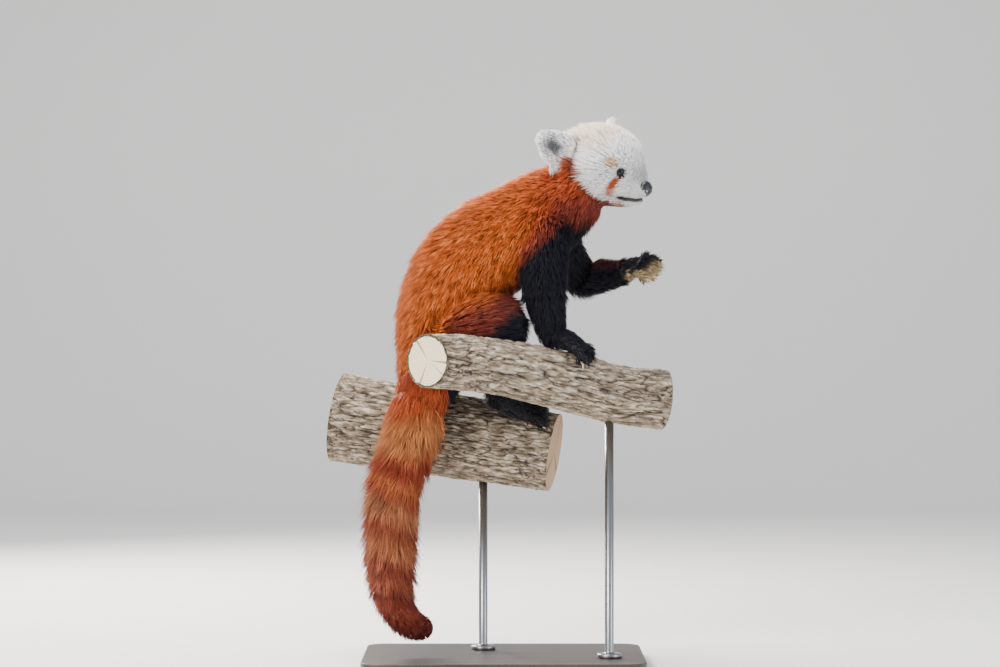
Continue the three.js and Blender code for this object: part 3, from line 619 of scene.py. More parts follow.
ear_axis = np.where((in_head[:, 1] < 0)[:, None], (EAR_TIP - EAR_BASE) * [1, -1, 1], EAR_TIP - EAR_BASE)
flow[on_ear] = (unit(ear_axis[on_ear]) + [0.1, 0, -0.25]) @ HEAD_TURN.T
depth[on_ear] = 5
fields = smooth_over(np.concatenate([unit(flow), depth[:, None]], 1), skin_edges, 10)
flow, depth = unit(fields[:, :3]), fields[:, 3]
paw_like = group == GROUPS.index("paw")
depth[paw_like] = np.minimum(depth[paw_like], 5)


# Markings of the coat, as functions of the place: rust above and nearly black below, a white face with
# rust tear stripes, white ears with a dark cup, and a tail in rings of rust, buff and dark red.
DARK_EDGE = [(-125, 300), (-100, 360), (-79, 447), (-36, 466), (8, 503), (16, 520), (22, 540), (37, 553),
             (57, 577), (78, 606), (117, 616), (150, 612)]  # x and z of the lower edge of the rust coat
TAIL_BANDS = [(430, "a63c12"), (372, "b04a1c"), (350, "c07842"), (325, "b86e3c"), (305, "8f3216"),
              (288, "83301a"), (272, "b8622e"), (256, "8a3420"), (243, "b47048"), (226, "ac6642"),
              (205, "8c3e26"), (186, "a8603c"), (168, "a85f3e"), (150, "843424"), (128, "a4563a"),
              (108, "7d2f22"), (88, "94422c"), (66, "72281c"), (40, "62201a")]  # height in mm and colour
COAT = {name: np.array(linear(code)[:3]) for name, code in {
    "back": "c65c14", "shoulder": "b04414", "maroon": "702622", "black": "07070f", "white": "fbf9f9",
    "crown": "ecd8c8", "tear": "b24a12", "patch": "a64418", "brow": "d9a878", "ear_cup": "3a3a44",
    "nape": "d08a60", "chin": "c98a4a", "palm": "b39a72",
}.items()}
PALM_FACING = unit(np.array([0.35, -0.75, -0.6]))  # of the raised hand
EYE_RIM = (1.5, 1.5)  # width of the black ring of skin round an eye


def mix(colour, other, share):
    return colour + (other - colour) * np.clip(share, 0, 1)[:, None]


def near(place, centre, size):
    """A soft spot of the given half sizes round a centre, mirrored on both sides of the face."""
    away = (np.stack([place[:, 0], np.abs(place[:, 1]), place[:, 2]], 1) - centre) / size
    return ramp(1.25, 0.75, np.linalg.norm(away, axis=1))


def markings(points, normals, group, on_ear):
    """The coat's colour at points in metres, each of a group of the body."""
    world = points / MM
    x, y, z = world.T
    edge = np.array(DARK_EDGE, float)
    above_dark = z - np.interp(x, edge[:, 0], edge[:, 1])
    colour = np.repeat(COAT["back"][None], len(world), 0)
    colour = mix(colour, COAT["shoulder"], ramp(10, 60, x) * ramp(120, 40, above_dark))
    colour = mix(colour, COAT["maroon"], ramp(0, 40, x) * ramp(46, 14, above_dark) * 0.85)
    thigh = ((group == GROUPS.index("right_leg")) | (group == GROUPS.index("left_leg"))) * 1.0
    colour = mix(colour, COAT["maroon"], thigh * ramp(34, 2, above_dark) * 0.9)
    inside_leg = ramp(52, 30, np.abs(y)) * ramp(520, 480, z) * ramp(-60, -20, x)
    dark = np.maximum(ramp(9, -11, above_dark + thigh * 15), inside_leg)
    paw = group == GROUPS.index("paw")
    arm = (group == GROUPS.index("right_arm")) | (group == GROUPS.index("left_arm"))
    dark = np.where(paw, 1.0, dark)
    dark = np.where(arm, np.maximum(dark, ramp(16, 0, above_dark)), dark)
    raised = (group == GROUPS.index("left_arm")) * ramp(0.1, 0.9, normals[:, 2])
    colour = mix(colour, COAT["black"], dark * (1 - 0.35 * raised))
    palm = paw * (x > 160) * ramp(0.1, 0.5, normals @ PALM_FACING)
    colour = mix(colour, COAT["palm"], palm)
    bands = np.array([linear(code)[:3] for _, code in TAIL_BANDS])[::-1]
    heights = np.array([height for height, _ in TAIL_BANDS], float)[::-1]
    band_z = z + 7 * np.sin(x * 0.11 + y * 0.07) + (x + 140) * 0.12
    tail_colour = np.stack([np.interp(band_z, heights, bands[:, k]) for k in range(3)], 1)
    colour = np.where((group == GROUPS.index("tail"))[:, None], tail_colour, colour)

    place = to_head(points)
    u, v, w = place[:, 0], np.abs(place[:, 1]), place[:, 2]
    face = np.repeat(COAT["white"][None], len(world), 0)
    face = mix(face, COAT["crown"], ramp(8, 32, w) * ramp(-6, -30, u))
    face = mix(face, COAT["nape"], ramp(-62, -84, u) * ramp(0, 24, w))
    cheek_edge = np.interp(w, [-60, -41, -37, -26, 0, 13, 26], [0, -13, -24, -33, -36, -47, -90])
    behind = ramp(3, -5, u - cheek_edge) * ramp(22, 12, w)
    face = mix(face, COAT["patch"], behind)
    face = mix(face, COAT["maroon"], behind * ramp(-18, -34, w) * 0.6)
    throat = ramp(-40, -46, w) * ramp(8, 0, u)
    face = mix(face, COAT["maroon"], throat * 0.9)
    stripe_line = np.interp(w, [-44, -29, -8, 4], [-6, -9.5, 0, -1])
    stripe = ramp(5.4, 3.0, np.abs(u - stripe_line)) * ramp(-4, -8, w) * ramp(20, 25, v)
    face = mix(face, COAT["tear"], stripe)
    face = mix(face, COAT["brow"], near(place, [-7, 35, 12], [8, 9, 6]) * 0.8)
    face = mix(face, COAT["brow"], near(place, [4, 15, 1], [6, 5, 7]) * 0.65)
    face = mix(face, COAT["chin"], near(place, [-2, 20, -47], [8, 9, 6]) * 0.8)
    lip_band = ramp(3.0, 1.8, np.abs(w - mouth_height(u) - 0.4)) * ramp(MOUTH_CORNER, MOUTH_CORNER + 5, u)
    face = mix(face, COAT["black"], lip_band * ramp(44, 40, v))
    for side in (-1, 1):
        almond, ahead = almond_share(place - EYE * [1, side, 1], side, EYE_RIM)
        face = mix(face, COAT["black"], ramp(0.95, 0.8, almond) * (ahead > 0))
    share, beside, front = ear_share(place)
    cup = 0.9 * ramp(0.14, 0.42, share) * ramp(0.95, 0.62, share)
    cup = cup * ramp(15, 5, beside) * ramp(-7.0, -4.0, front)
    white_ear = np.where(on_ear, 1.0, 0.0)
    face = mix(face, COAT["white"], white_ear)
    face = mix(face, COAT["ear_cup"], white_ear * cup)
    return np.where((group == GROUPS.index("head"))[:, None], face, colour)


skin_colour = markings(skin_points, skin_normals, group, on_ear)


def set_colour(piece, name, values):
    """A colour at every vertex. values may hold two or three of its parts."""
    layer = piece.data.color_attributes.new(name, "FLOAT_COLOR", "POINT")
    rgba = np.ones((len(values), 4))
    rgba[:, : values.shape[1]] = values
    layer.data.foreach_set("color", rgba.ravel())


def map_range(tree, value, low, high, to_low=0.0, to_high=1.0):
    """A shader value stretched from one range to another."""
    ends = {"From Min": low, "From Max": high, "To Min": to_low, "To Max": to_high}
    return add_node(tree, "ShaderNodeMapRange", {"Value": value, **ends}).outputs["Result"]


def coat_material(name, roughness, sheen):
    """Fur: each hair is a dull scatterer with a soft edge glow. Its colours come from the markings, with
    painted shade at the roots of the hairs and on the skin between them.
    """
    material, tree, shader = new_material(name, Roughness=roughness, Specular_IOR_Level=0.22,
                                          Sheen_Weight=sheen, Sheen_Roughness=0.4)
    markings_node = add_node(tree, "ShaderNodeAttribute", attribute_name="markings")
    place = add_node(tree, "ShaderNodeTexCoord").outputs["Object"]
    fleck = add_node(tree, "ShaderNodeTexNoise", {"Vector": place, "Scale": 900.0, "Detail": 2.0})
    vary = map_range(tree, fleck.outputs["Fac"], 0.3, 0.7, 0.85, 1.12)
    tint = add_node(tree, "ShaderNodeVectorMath", {0: markings_node.outputs["Color"], 1: vary},
                    operation="MULTIPLY")
    tree.links.new(tint.outputs["Vector"], shader.inputs["Base Color"])
    return material


def unwrap(piece, degrees):
    """An OFBake unwrap, cut wherever the surface turns by more than so many degrees."""
    while piece.data.uv_layers:
        piece.data.uv_layers.remove(piece.data.uv_layers[0])
    piece.data.uv_layers.new(name="OFBake")
    angle = math.radians(degrees)
    in_edit_mode(piece, lambda: bpy.ops.uv.smart_project(angle_limit=angle, island_margin=0.002))


SKIN_SHADE = 0.45  # the skin between the hairs lies in shadow
set_colour(skin, "markings", skin_colour * SKIN_SHADE)
skin.data.materials.append(coat_material("short undercoat", 0.8, 0.1))
deselect_all()
skin.select_set(True)
bpy.context.view_layer.objects.active = skin
bpy.ops.object.shade_smooth()
unwrap(skin, 80)
flesh_nodes = [
    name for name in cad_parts
    if not name.startswith(("perch_", "stand_", "eye_")) and name != "nose"
]
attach(skin, "root")
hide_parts(*flesh_nodes)


# The coat itself: flat tapered tufts of hair, each a closed blade of ten faces, rooted in the skin. They
# follow the lie of the coat, and small bunches of them draw together at their tips.
rng = np.random.default_rng(20261)
TIP_GLOW = np.array([1.9, 1.15, 0.6])  # the colour that the tips of long hairs catch
DARK_SHEEN = np.array([0.003, 0.003, 0.014])  # and those of the black hair, which is bluish in the light


def skin_triangles():
    skin.data.calc_loop_triangles()
    count = len(skin.data.loop_triangles)
    corners, loops = np.empty(count * 3, int), np.empty(count * 3, int)
    skin.data.loop_triangles.foreach_get("vertices", corners)
    skin.data.loop_triangles.foreach_get("loops", loops)
    uv = np.empty(len(skin.data.loops) * 2)
    skin.data.uv_layers["OFBake"].data.foreach_get("uv", uv)
    return corners.reshape(-1, 3), uv.reshape(-1, 2)[loops.reshape(-1, 3)]


triangles, triangle_uv = skin_triangles()
corner_points = skin_points[triangles]
first_edge, second_edge = (corner_points[:, k] - corner_points[:, 0] for k in (1, 2))
areas = np.linalg.norm(np.cross(first_edge, second_edge), axis=1) / 2 / MM**2
BLADE_FACES = np.array([[0, 1, 2], [0, 3, 4], [0, 4, 1], [1, 4, 5], [1, 5, 2], [2, 5, 3], [2, 3, 0],
                        [3, 6, 4], [4, 6, 5], [5, 6, 3]])
BLADE_POINTS = 7
TUFT_PATCH = 0.003  # size of a tuft's own patch of the unwrap
PATCH_SHAPE = np.array([[0, 0], [1, 0], [0.5, 0.3], [0, 0.6], [1, 0.6], [0.5, 0.8], [0.5, 1.0]])
ROOT_SUNK = 0.0008  # metres below the skin
TIP_LIFT = 0.45  # a hair's outer half leaves the skin at this share of its root's angle
MIDDLE_PULL = 0.45  # and its middle follows the bunch by this share of its tip's pull


def roots_on(keep, per_mm2):
    """Random roots, spread evenly over the triangles that keep picks: triangle, and its corner weights."""
    wanted = np.where(keep, areas * per_mm2, 0)
    counts = np.floor(wanted + rng.random(len(wanted))).astype(int)
    picked = np.repeat(np.arange(len(wanted)), counts)
    a, b = rng.random(len(picked)), rng.random(len(picked))
    over = a + b > 1
    a[over], b[over] = 1 - a[over], 1 - b[over]
    return picked, np.stack([1 - a - b, a, b], 1)


def carried(values, picked, weights):
    """Values at roots from those of the corners of their triangles."""
    return np.einsum("nk,nk...->n...", weights, values[triangles[picked]])


def tuft_mesh(name, roots, middles, tips, sides, outs, widths, colours, uvs, material):
    """One joined mesh of closed three-sided blades. colours holds those of root, middle and tip."""
    count = len(roots)
    half, thick = widths[:, None] / 2, widths[:, None] * 0.3
    low = [roots + sides * half * 0.8, roots - sides * half * 0.8, roots + outs * thick]
    high = [middles + sides * half, middles - sides * half, middles + outs * thick]
    points = np.stack(low + high + [tips], 1)
    shades = np.stack([colours[0]] * 3 + [colours[1]] * 3 + [colours[2]], 1)
    index = (BLADE_FACES[None] + BLADE_POINTS * np.arange(count)[:, None, None]).reshape(-1, 3)
    mesh = bpy.data.meshes.new(name)
    mesh.vertices.add(count * BLADE_POINTS)
    mesh.vertices.foreach_set("co", points.ravel())
    mesh.loops.add(index.size)
    mesh.loops.foreach_set("vertex_index", index.ravel())
    mesh.polygons.add(len(index))
    mesh.polygons.foreach_set("loop_start", np.arange(0, index.size, 3))
    mesh.polygons.foreach_set("use_smooth", np.ones(len(index), bool))
    mesh.update(calc_edges=True)
    piece = bpy.data.objects.new(name, mesh)
    bpy.context.collection.objects.link(piece)
    set_colour(piece, "markings", shades.reshape(-1, 3))
    patch = PATCH_SHAPE * TUFT_PATCH
    corner_uv = (uvs[:, None] + patch[None] - TUFT_PATCH / 2).reshape(-1, 2)[index.ravel()]
    layer = mesh.uv_layers.new(name="OFBake")
    layer.data.foreach_set("uv", np.clip(corner_uv, 0, 1).ravel())
    mesh.materials.append(material)
    return piece


def grow_coat(name, keep, per_mm2, width, clump, lift, material, reach=1.0, fleck=0.5, wild=0.25,
              pull=0.45, shade=0.35, towards=None):
    """Tufts on the triangles that keep picks. clump is the spacing of the bunches whose tips draw together
    by the share pull, lift the angle in degrees at which they leave the skin, fleck how much their tips
    vary, shade how dark their roots are, as painted shade deep in the coat, and towards a direction to
    hang in, if not with the lie."""
    picked, weights = roots_on(keep, per_mm2)
    roots = carried(skin_points, picked, weights)
    rooted = ~bare_face(to_head(roots))
    picked, weights, roots = picked[rooted], weights[rooted], roots[rooted]
    out = unit(carried(skin_normals, picked, weights))
    lie = carried(flow, picked, weights) if towards is None else np.repeat(towards[None], len(roots), 0)
    lie = unit(lie - out * np.sum(lie * out, 1)[:, None] + rng.normal(0, wild * 0.5, lie.shape))
    lie = unit(lie - out * np.sum(lie * out, 1)[:, None])
    deep = carried(depth[:, None], picked, weights)[:, 0] * MM * rng.normal(1, 0.13, len(roots)) * reach
    steep, flat = math.radians(lift), math.radians(lift * TIP_LIFT)
    length = deep / (0.5 * math.sin(steep) + 0.5 * math.sin(flat))
    middles = roots + (lie * math.cos(steep) + out * math.sin(steep)) * (length * 0.5)[:, None]
    tips = middles + (lie * math.cos(flat) + out * math.sin(flat)) * (length * 0.5)[:, None]
    spacing = clump * MM
    centres = rng.permutation(len(roots))[: max(8, int(areas[keep].sum() * MM**2 / spacing**2))]
    tree = kdtree.KDTree(len(centres))
    for k, centre in enumerate(centres):
        tree.insert(roots[centre], k)
    tree.balance()
    bunch = np.array([tree.find(root)[1] for root in roots])
    lead = centres[bunch]
    offset = tips[lead] - roots[lead]
    shared = roots[lead] + offset
    tips = tips + (shared - tips) * pull
    middles = middles + (shared - offset * 0.5 - middles) * pull * MIDDLE_PULL
    clear = ~(bare_face(to_head(tips)) | bare_face(to_head(middles)))
    picked, weights, roots, out, lie, middles, tips, bunch = (
        values[clear] for values in (picked, weights, roots, out, lie, middles, tips, bunch))
    base = carried(skin_colour, picked, weights)
    bright = rng.normal(0, 1, len(centres))[bunch] * 0.7 + rng.normal(0, 1, len(roots)) * 0.5
    glow = np.clip(1 + bright * fleck * 0.45, 0.35, 1.8)[:, None]
    grey = base.mean(axis=1, keepdims=True)
    golden = np.clip(bright - 0.2, 0, 1.4)[:, None] * fleck * 0.5
    tip_colour = np.clip(base * glow + golden * grey * TIP_GLOW + DARK_SHEEN * (grey < 0.02), 0, 1)
    # Painted shade deep in the coat: the roots keep the share shade of their colour, and the middles a
    # little less than the tips.
    root_colour = base * shade
    middle_colour = base * np.clip(0.8 + bright * fleck * 0.2, 0.5, 1.2)[:, None]
    widths = width * MM * rng.uniform(0.75, 1.25, len(roots))
    side = unit(np.cross(lie, out))
    uvs = np.einsum("nk,nkc->nc", weights, triangle_uv[picked])
    sunk = roots - out * ROOT_SUNK
    piece = tuft_mesh(name, sunk, middles, tips, side, out, widths, (root_colour, middle_colour, tip_colour),
                      uvs, material)
    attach(piece, "root")
    print("coat", name, len(roots), "tufts")
    return piece


triangle_group = group[triangles[:, 0]]
triangle_ear = on_ear[triangles].any(axis=1)
triangle_x = corner_points[:, :, 0].mean(axis=1) / MM
body_fur = coat_material("long guard hair", 0.6, 0.03)
face_fur = coat_material("short face hair", 0.7, 0.15)
is_group = {name: triangle_group == k for k, name in enumerate(GROUPS)}
trunk_cut = [-400, -45, 15, 400]  # the body coat is parted at these x, in mm
for k in range(3):
    stretch = is_group["trunk"] & (triangle_x >= trunk_cut[k]) & (triangle_x < trunk_cut[k + 1])
    grow_coat(f"coat_body_{k + 1}", stretch, 0.43, 1.3, 3.4, 56, body_fur, reach=0.92, fleck=1.0,
              wild=0.5)
grow_coat("coat_tail", is_group["tail"], 0.5, 1.6, 5.0, 48, body_fur, fleck=0.7, wild=0.5)
arms = is_group["right_arm"] | is_group["left_arm"]
legs = is_group["right_leg"] | is_group["left_leg"]
grow_coat("coat_arms", arms, 0.36, 1.3, 4.0, 40, body_fur, fleck=0.8)
grow_coat("coat_legs", legs, 0.34, 1.4, 4.0, 44, body_fur, fleck=0.8)
grow_coat("coat_paws", is_group["paw"], 0.3, 1.2, 3.5, 26, face_fur, fleck=0.6)
grow_coat("coat_head", is_group["head"] & ~triangle_ear, 0.62, 0.95, 3.0, 42, face_fur, fleck=0.22,
          wild=0.35, pull=0.25, shade=0.62)
grow_coat("coat_ears", triangle_ear, 0.9, 0.9, 3.0, 45, face_fur, fleck=0.2, wild=0.5, pull=0.3,
          shade=0.6)
FRINGE_FROM = 68  # mm beside the middle of the head, so that only the outer edge of an ear has a fringe
fringe_place = to_head(corner_points.mean(axis=1))
fringe_share, _, fringe_front = ear_share(fringe_place)
has_fringe = triangle_ear & (np.abs(fringe_place[:, 1]) > FRINGE_FROM)
has_fringe &= (fringe_share > 0.12) & (fringe_share < 0.5) & (fringe_front > -4)
hanging = unit(HEAD_TURN @ np.array([-0.15, 0.0, -1.0]) + np.array([0.05, -0.1, 0]))
grow_coat("coat_ear_fringe", has_fringe, 0.4, 1.0, 4.2, 16, face_fur, reach=0.95, fleck=0.2,
          wild=0.2, pull=0.5, shade=0.75, towards=hanging)


# The eyes: balls of dark glass set into the skin, each as wide as its socket. A brown ring lies round a wide
# black pupil, under a clear shine.
def finish_piece(piece, slot, *materials, smooth=True, replaces=()):
    """Materials, shading, unwrap and place in the model of one finished piece."""
    for material in materials:
        piece.data.materials.append(material)
    if smooth:
        piece.data.polygons.foreach_set("use_smooth", [True] * len(piece.data.polygons))
    unwrap(piece, 66)
    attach(piece, "root")
    if replaces:
        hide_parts(*replaces)
    return piece


def ball(name, centre, radii, turn, segments=40, rings=24):
    """A sphere mesh of the given radii (mm) round a centre in the head's frame, turned so."""
    bpy.ops.mesh.primitive_uv_sphere_add(segments=segments, ring_count=rings, radius=1)
    shape = bpy.context.object
    shape.name = name
    shape.data.transform(Matrix.Diagonal((*(r * MM for r in radii), 1)))
    shape.data.transform(turn.to_4x4())
    shape.data.transform(HEAD_PLACE @ Matrix.Translation(Vector(centre) * MM))
    return shape


def colour_ramp(tree, share, stops):
    """A shader colour for a share, from the position and sRGB hex of each stop."""
    node = add_node(tree, "ShaderNodeValToRGB", {"Fac": share})
    elements = node.color_ramp.elements
    for k in (0, -1):
        elements[k].position, elements[k].color = stops[k][0], linear(stops[k][1])
    for position, code in stops[1:-1]:
        elements.new(position).color = linear(code)
    return node.outputs["Color"]


EYE_RINGS = [(0.0, "1a1210"), (0.25, "3a2216"), (0.6, "2a170f"), (0.72, "050404"), (1.0, "030304")]


def eye_material(name, side):
    material, tree, shader = new_material(name, Roughness=0.1, Specular_IOR_Level=0.25, Coat_Weight=0.2,
                                          Coat_Roughness=0.03)
    forward = HEAD_TURN @ eye_axes(side)[0]
    centre = from_head(EYE * [1, side, 1])
    place = add_node(tree, "ShaderNodeTexCoord").outputs["Object"]
    away = add_node(tree, "ShaderNodeVectorMath", {0: place, 1: tuple(centre)}, operation="SUBTRACT")
    ahead = add_node(tree, "ShaderNodeVectorMath", {0: away.outputs["Vector"], 1: tuple(forward)},
                     operation="DOT_PRODUCT")
    share = map_range(tree, ahead.outputs["Value"], 0.0045, 0.0079)  # metres ahead of the eye's middle
    tree.links.new(colour_ramp(tree, share, EYE_RINGS), shader.inputs["Base Color"])
    return material


for side, word in ((-1, "right"), (1, "left")):
    turn = Vector(eye_axes(side)[0]).to_track_quat("Z", "Y").to_matrix()
    eyeball = ball("eyeball_" + word, EYE * [1, side, 1], [EYE_RADIUS] * 3, turn)
    finish_piece(eyeball, "eye_" + word, eye_material("glossy eye " + word, side), replaces=["eye_" + word])


# The eyelids: a thin rim of dark wax that follows the almond opening. It is laid close round each eyeball
# and covers the edge of the skin.
lid_skin, _, _ = new_material("dark eyelid skin", Base_Color=linear("0f0c10"), Roughness=0.5)
LID_RADII = (1.7, 1.0)  # along the eyeball and out from it
LID_INSET = 0.5


def strip_faces(rows, sides, closed=False):
    """The faces between rows of points that each run round. closed joins the last row to the first."""
    faces = []
    for i in range(rows if closed else rows - 1):
        here, ahead = i * sides, (i + 1) % rows * sides
        for j in range(sides):
            beside = (j + 1) % sides
            faces.append((here + j, here + beside, ahead + beside, ahead + j))
    return faces


def ring_tube(name, points, radii, centre, sides=8):
    """A closed ring of tube round an opening, as a loop of flattened circles."""
    count = len(points)
    mesh_points = []
    for k in range(count):
        along = unit(points[(k + 1) % count] - points[k - 1])
        out = unit(points[k] - centre)
        across = unit(np.cross(along, out))
        out = np.cross(across, along)
        for j in range(sides):
            turn = 2 * math.pi * j / sides
            offset = across * math.cos(turn) * radii[0] + out * math.sin(turn) * radii[1]
            mesh_points.append(HEAD_PLACE @ Vector((points[k] + offset) * MM))
    shape = new_piece(name, mesh_points, strip_faces(count, sides, closed=True))
    in_edit_mode(shape, face_outward)
    return shape


for side, word in ((-1, "right"), (1, "left")):
    centre = EYE * [1, side, 1]
    forward, sideways, up = eye_axes(side)
    rim_points = []
    for turn in np.linspace(0, 2 * math.pi, 48, endpoint=False):
        wide = math.cos(turn) * (EYE_OPENING[0] - LID_INSET)
        high = math.sin(turn) * (EYE_OPENING[1] - LID_INSET)
        flat = sideways * wide + up * high
        ahead = math.sqrt(max((EYE_RADIUS + 0.5) ** 2 - flat @ flat, 0.1))
        rim_points.append(centre + flat + forward * ahead)
    rim = ring_tube("eyelid_" + word, rim_points, LID_RADII, centre)
    finish_piece(rim, "head", lid_skin)


# The nose: a pad of black leather pressed over the end of the snout. It has two comma-shaped nostrils and a
# furrow below them.
def add_bump(tree, shader, height, strength, distance):
    """Fine relief on a material, to a depth in metres."""
    bump = add_node(tree, "ShaderNodeBump", {"Height": height, "Strength": strength, "Distance": distance})
    tree.links.new(bump.outputs["Normal"], shader.inputs["Normal"])


nose_skin, nose_tree, nose_shader = new_material("nose leather", Base_Color=linear("101017"), Roughness=0.38,
                                                 Coat_Weight=0.35, Coat_Roughness=0.3)
nose_place = add_node(nose_tree, "ShaderNodeTexCoord").outputs["Object"]
pebbles = add_node(nose_tree, "ShaderNodeTexVoronoi", {"Vector": nose_place, "Scale": 900.0})
add_bump(nose_tree, nose_shader, pebbles.outputs["Distance"], 0.35, 0.0004)
nose_pad = ball("nose_pad", NOSE_AT, NOSE_RADII, Matrix.Identity(3), 64, 40)
pad_points = to_head(vertices_of(nose_pad))
away = pad_points - NOSE_AT
away[:, 2] *= np.where(away[:, 2] > 0, 1.0, 0.9)
away[:, 1] *= 1 - 0.28 * ramp(0, -7, away[:, 2])
away[:, 0] *= 1 - 0.12 * ramp(2, 7, away[:, 2])
for side in (-1, 1):
    hole = (away[:, 1] - side * 4.3) ** 2 / 2.1**2 + (away[:, 2] + 0.8) ** 2 / 1.7**2
    slit = (away[:, 1] - side * 7.6) ** 2 / 3.2**2 + (away[:, 2] - 0.4) ** 2 / 0.8**2
    push = np.maximum(ramp(1.6, 0.5, hole) * 3.2, ramp(1.5, 0.4, slit) * 1.8) * (away[:, 0] > -1)
    away[:, 0] -= push
furrow = np.exp(-((away[:, 1] / 0.7) ** 2)) * ramp(1, -3, away[:, 2]) * (away[:, 0] > 0)
away[:, 0] -= furrow * 1.1
set_vertices(nose_pad, from_head(away + NOSE_AT))
finish_piece(nose_pad, "nose", nose_skin, replaces=["nose"])


# The lips: a soft dark rim of wax, laid on the skin along the mouth. Its path is found by casting rays
# sideways at the skin, and it thins towards the corners of the mouth.
lip_skin, _, _ = new_material("dark lip skin", Base_Color=linear("141217"), Roughness=0.5)
skin_tree = bvhtree.BVHTree.FromPolygons([Vector(p) for p in skin_points], triangles.tolist())


def on_skin(place, direction):
    """Where a ray from place (in the head's frame) meets the skin, seen along direction, or None."""
    start = Vector(from_head(np.array(place, float)))
    hit = skin_tree.ray_cast(start, Vector(HEAD_TURN @ unit(np.array(direction, float))))
    return None if hit[0] is None else to_head(np.array(hit[0])[None])[0]


LIPS_FRONT = 27.5  # the two halves of the lips run this far forward, and then meet on the front
UPWARD = np.array([0, 0, 1.0])
lips = []
for side in (-1, 1):
    line = []
    for x in np.linspace(MOUTH_CORNER, LIPS_FRONT, 30):
        start = [x, side * 90.0, mouth_height(x)]
        found = on_skin(start, [0.0, -side, 0.0])
        if found is not None and abs(found[1]) > 1:
            line.append(found)
    front_height = mouth_height(28)
    found = on_skin([90.0, side * 0.5, front_height], [-1.0, 0, 0])
    if found is not None:
        line.append(found)
    thick = np.interp(np.linspace(0, 1, len(line)), [0, 0.15, 0.6, 1], [0.5, 1.5, 1.9, 1.4])
    stations = [[*p, t, t * 0.8, t * 0.8] for p, t in zip(line, thick)]
    lips.append(loft("lip", stations, side=UPWARD, count=46, sides=10, dome=(0.4, 0.4), place=HEAD_PLACE))
lips = join_all(lips, "lips")
finish_piece(lips, "head", lip_skin)


# Whiskers: four pale bristles in each of three rows a side, on the lip behind the nose. They are swept
# back, droop a little and taper to a point.
WHISKER_ROWS = ((13, -21.0, 30), (10, -25.0, 38), (8, -29.5, 34))  # x and z of a row's first, and length
BRISTLES, BRISTLE_GAP, BRISTLE_RADIUS, BRISTLE_RINGS = 4, 3.6, 0.28, 6
DROOP = np.array([-4.0, 0.0, -7.0])
whisker_skin, _, _ = new_material("pale bristle", Base_Color=linear("efeae0"), Roughness=0.45)
whisker_points, whisker_faces = [], []
for side in (-1, 1):
    for first_forward, first_up, long in WHISKER_ROWS:
        for k in range(BRISTLES):
            beside = [first_forward - BRISTLE_GAP * k, side * 90.0, first_up + 0.5 * k]
            root = on_skin(beside, [0.0, -side, 0.0])
            if root is None:
                continue
            sweep = unit(np.array([-0.25 - 0.2 * k, side, 0.1])) * long * (1 - 0.08 * k)
            steps = np.linspace(0, 1, BRISTLE_RINGS + 1)[:, None]
            curve = from_head(np.array(root) + sweep * steps + DROOP * steps ** 2)
            first = len(whisker_points)
            for j in range(BRISTLE_RINGS):
                along = unit(curve[j + 1] - curve[j])
                across = unit(np.cross(along, [0.2, 0.3, 0.9]))
                over = np.cross(across, along)
                thick = BRISTLE_RADIUS * MM * (1 - j / (BRISTLE_RINGS + 0.5))
                for turn in np.linspace(0, 2 * math.pi, 3, endpoint=False):
                    offset = (across * math.cos(turn) + over * math.sin(turn)) * thick
                    whisker_points.append(curve[j] + offset)
            tip = len(whisker_points)
            whisker_points.append(curve[BRISTLE_RINGS])
            whisker_faces += [tuple(first + p for p in face) for face in strip_faces(BRISTLE_RINGS, 3)]
            whisker_faces += [(tip - 3 + i, tip - 3 + (i + 1) % 3, tip) for i in range(3)]
            whisker_faces.append((first + 2, first + 1, first))
whiskers = new_piece("whiskers", [tuple(p) for p in whisker_points], whisker_faces)
in_edit_mode(whiskers, face_outward)
finish_piece(whiskers, "head", whisker_skin, smooth=False)


# The claws: pale curved horn, one on each toe. Each is set in the end of its toe, and the hair of the paw
# half hides it.
horn, _, _ = new_material("pale claw horn", Base_Color=linear("c9b48e"), Roughness=0.35)
for name in PAWS:
    _, digits, spread = paw_paths(**PAWS[name])
    claws = [loft("claw", claw, side=spread, count=12, sides=10) for _, claw in digits]
    finish_piece(join_all(claws, "claws_" + name), name, horn)


# The two lengths of branch. The bark is broken into long plates with deep, branching cracks, and each sawn
# end shows rings and splits. The near branch is cut at a slant on its left.
LOG_FRONT = [[-162, -121, 419, 35], [-110, -108, 414, 36], [-60, -95, 411, 37], [-7, -83, 405, 38],
             [73, -62, 388, 40], [155, -42, 367, 40], [214, -27, 360, 41]]
LOG_REAR = [[-232, 92, 333, 62], [-130, 75, 317, 60], [-20, 56, 300, 57], [68, 40, 286, 54]]
SAWN_PLACE, SAWN_FACING = np.array([-102, -107, 414.0]), unit(np.array([-0.73, -0.68, 0.05]))
BARK_DEEP, BARK_STEP = 3.4, 1.05  # depth of the deepest cracks, and size of the faces
DISC_RINGS = 9


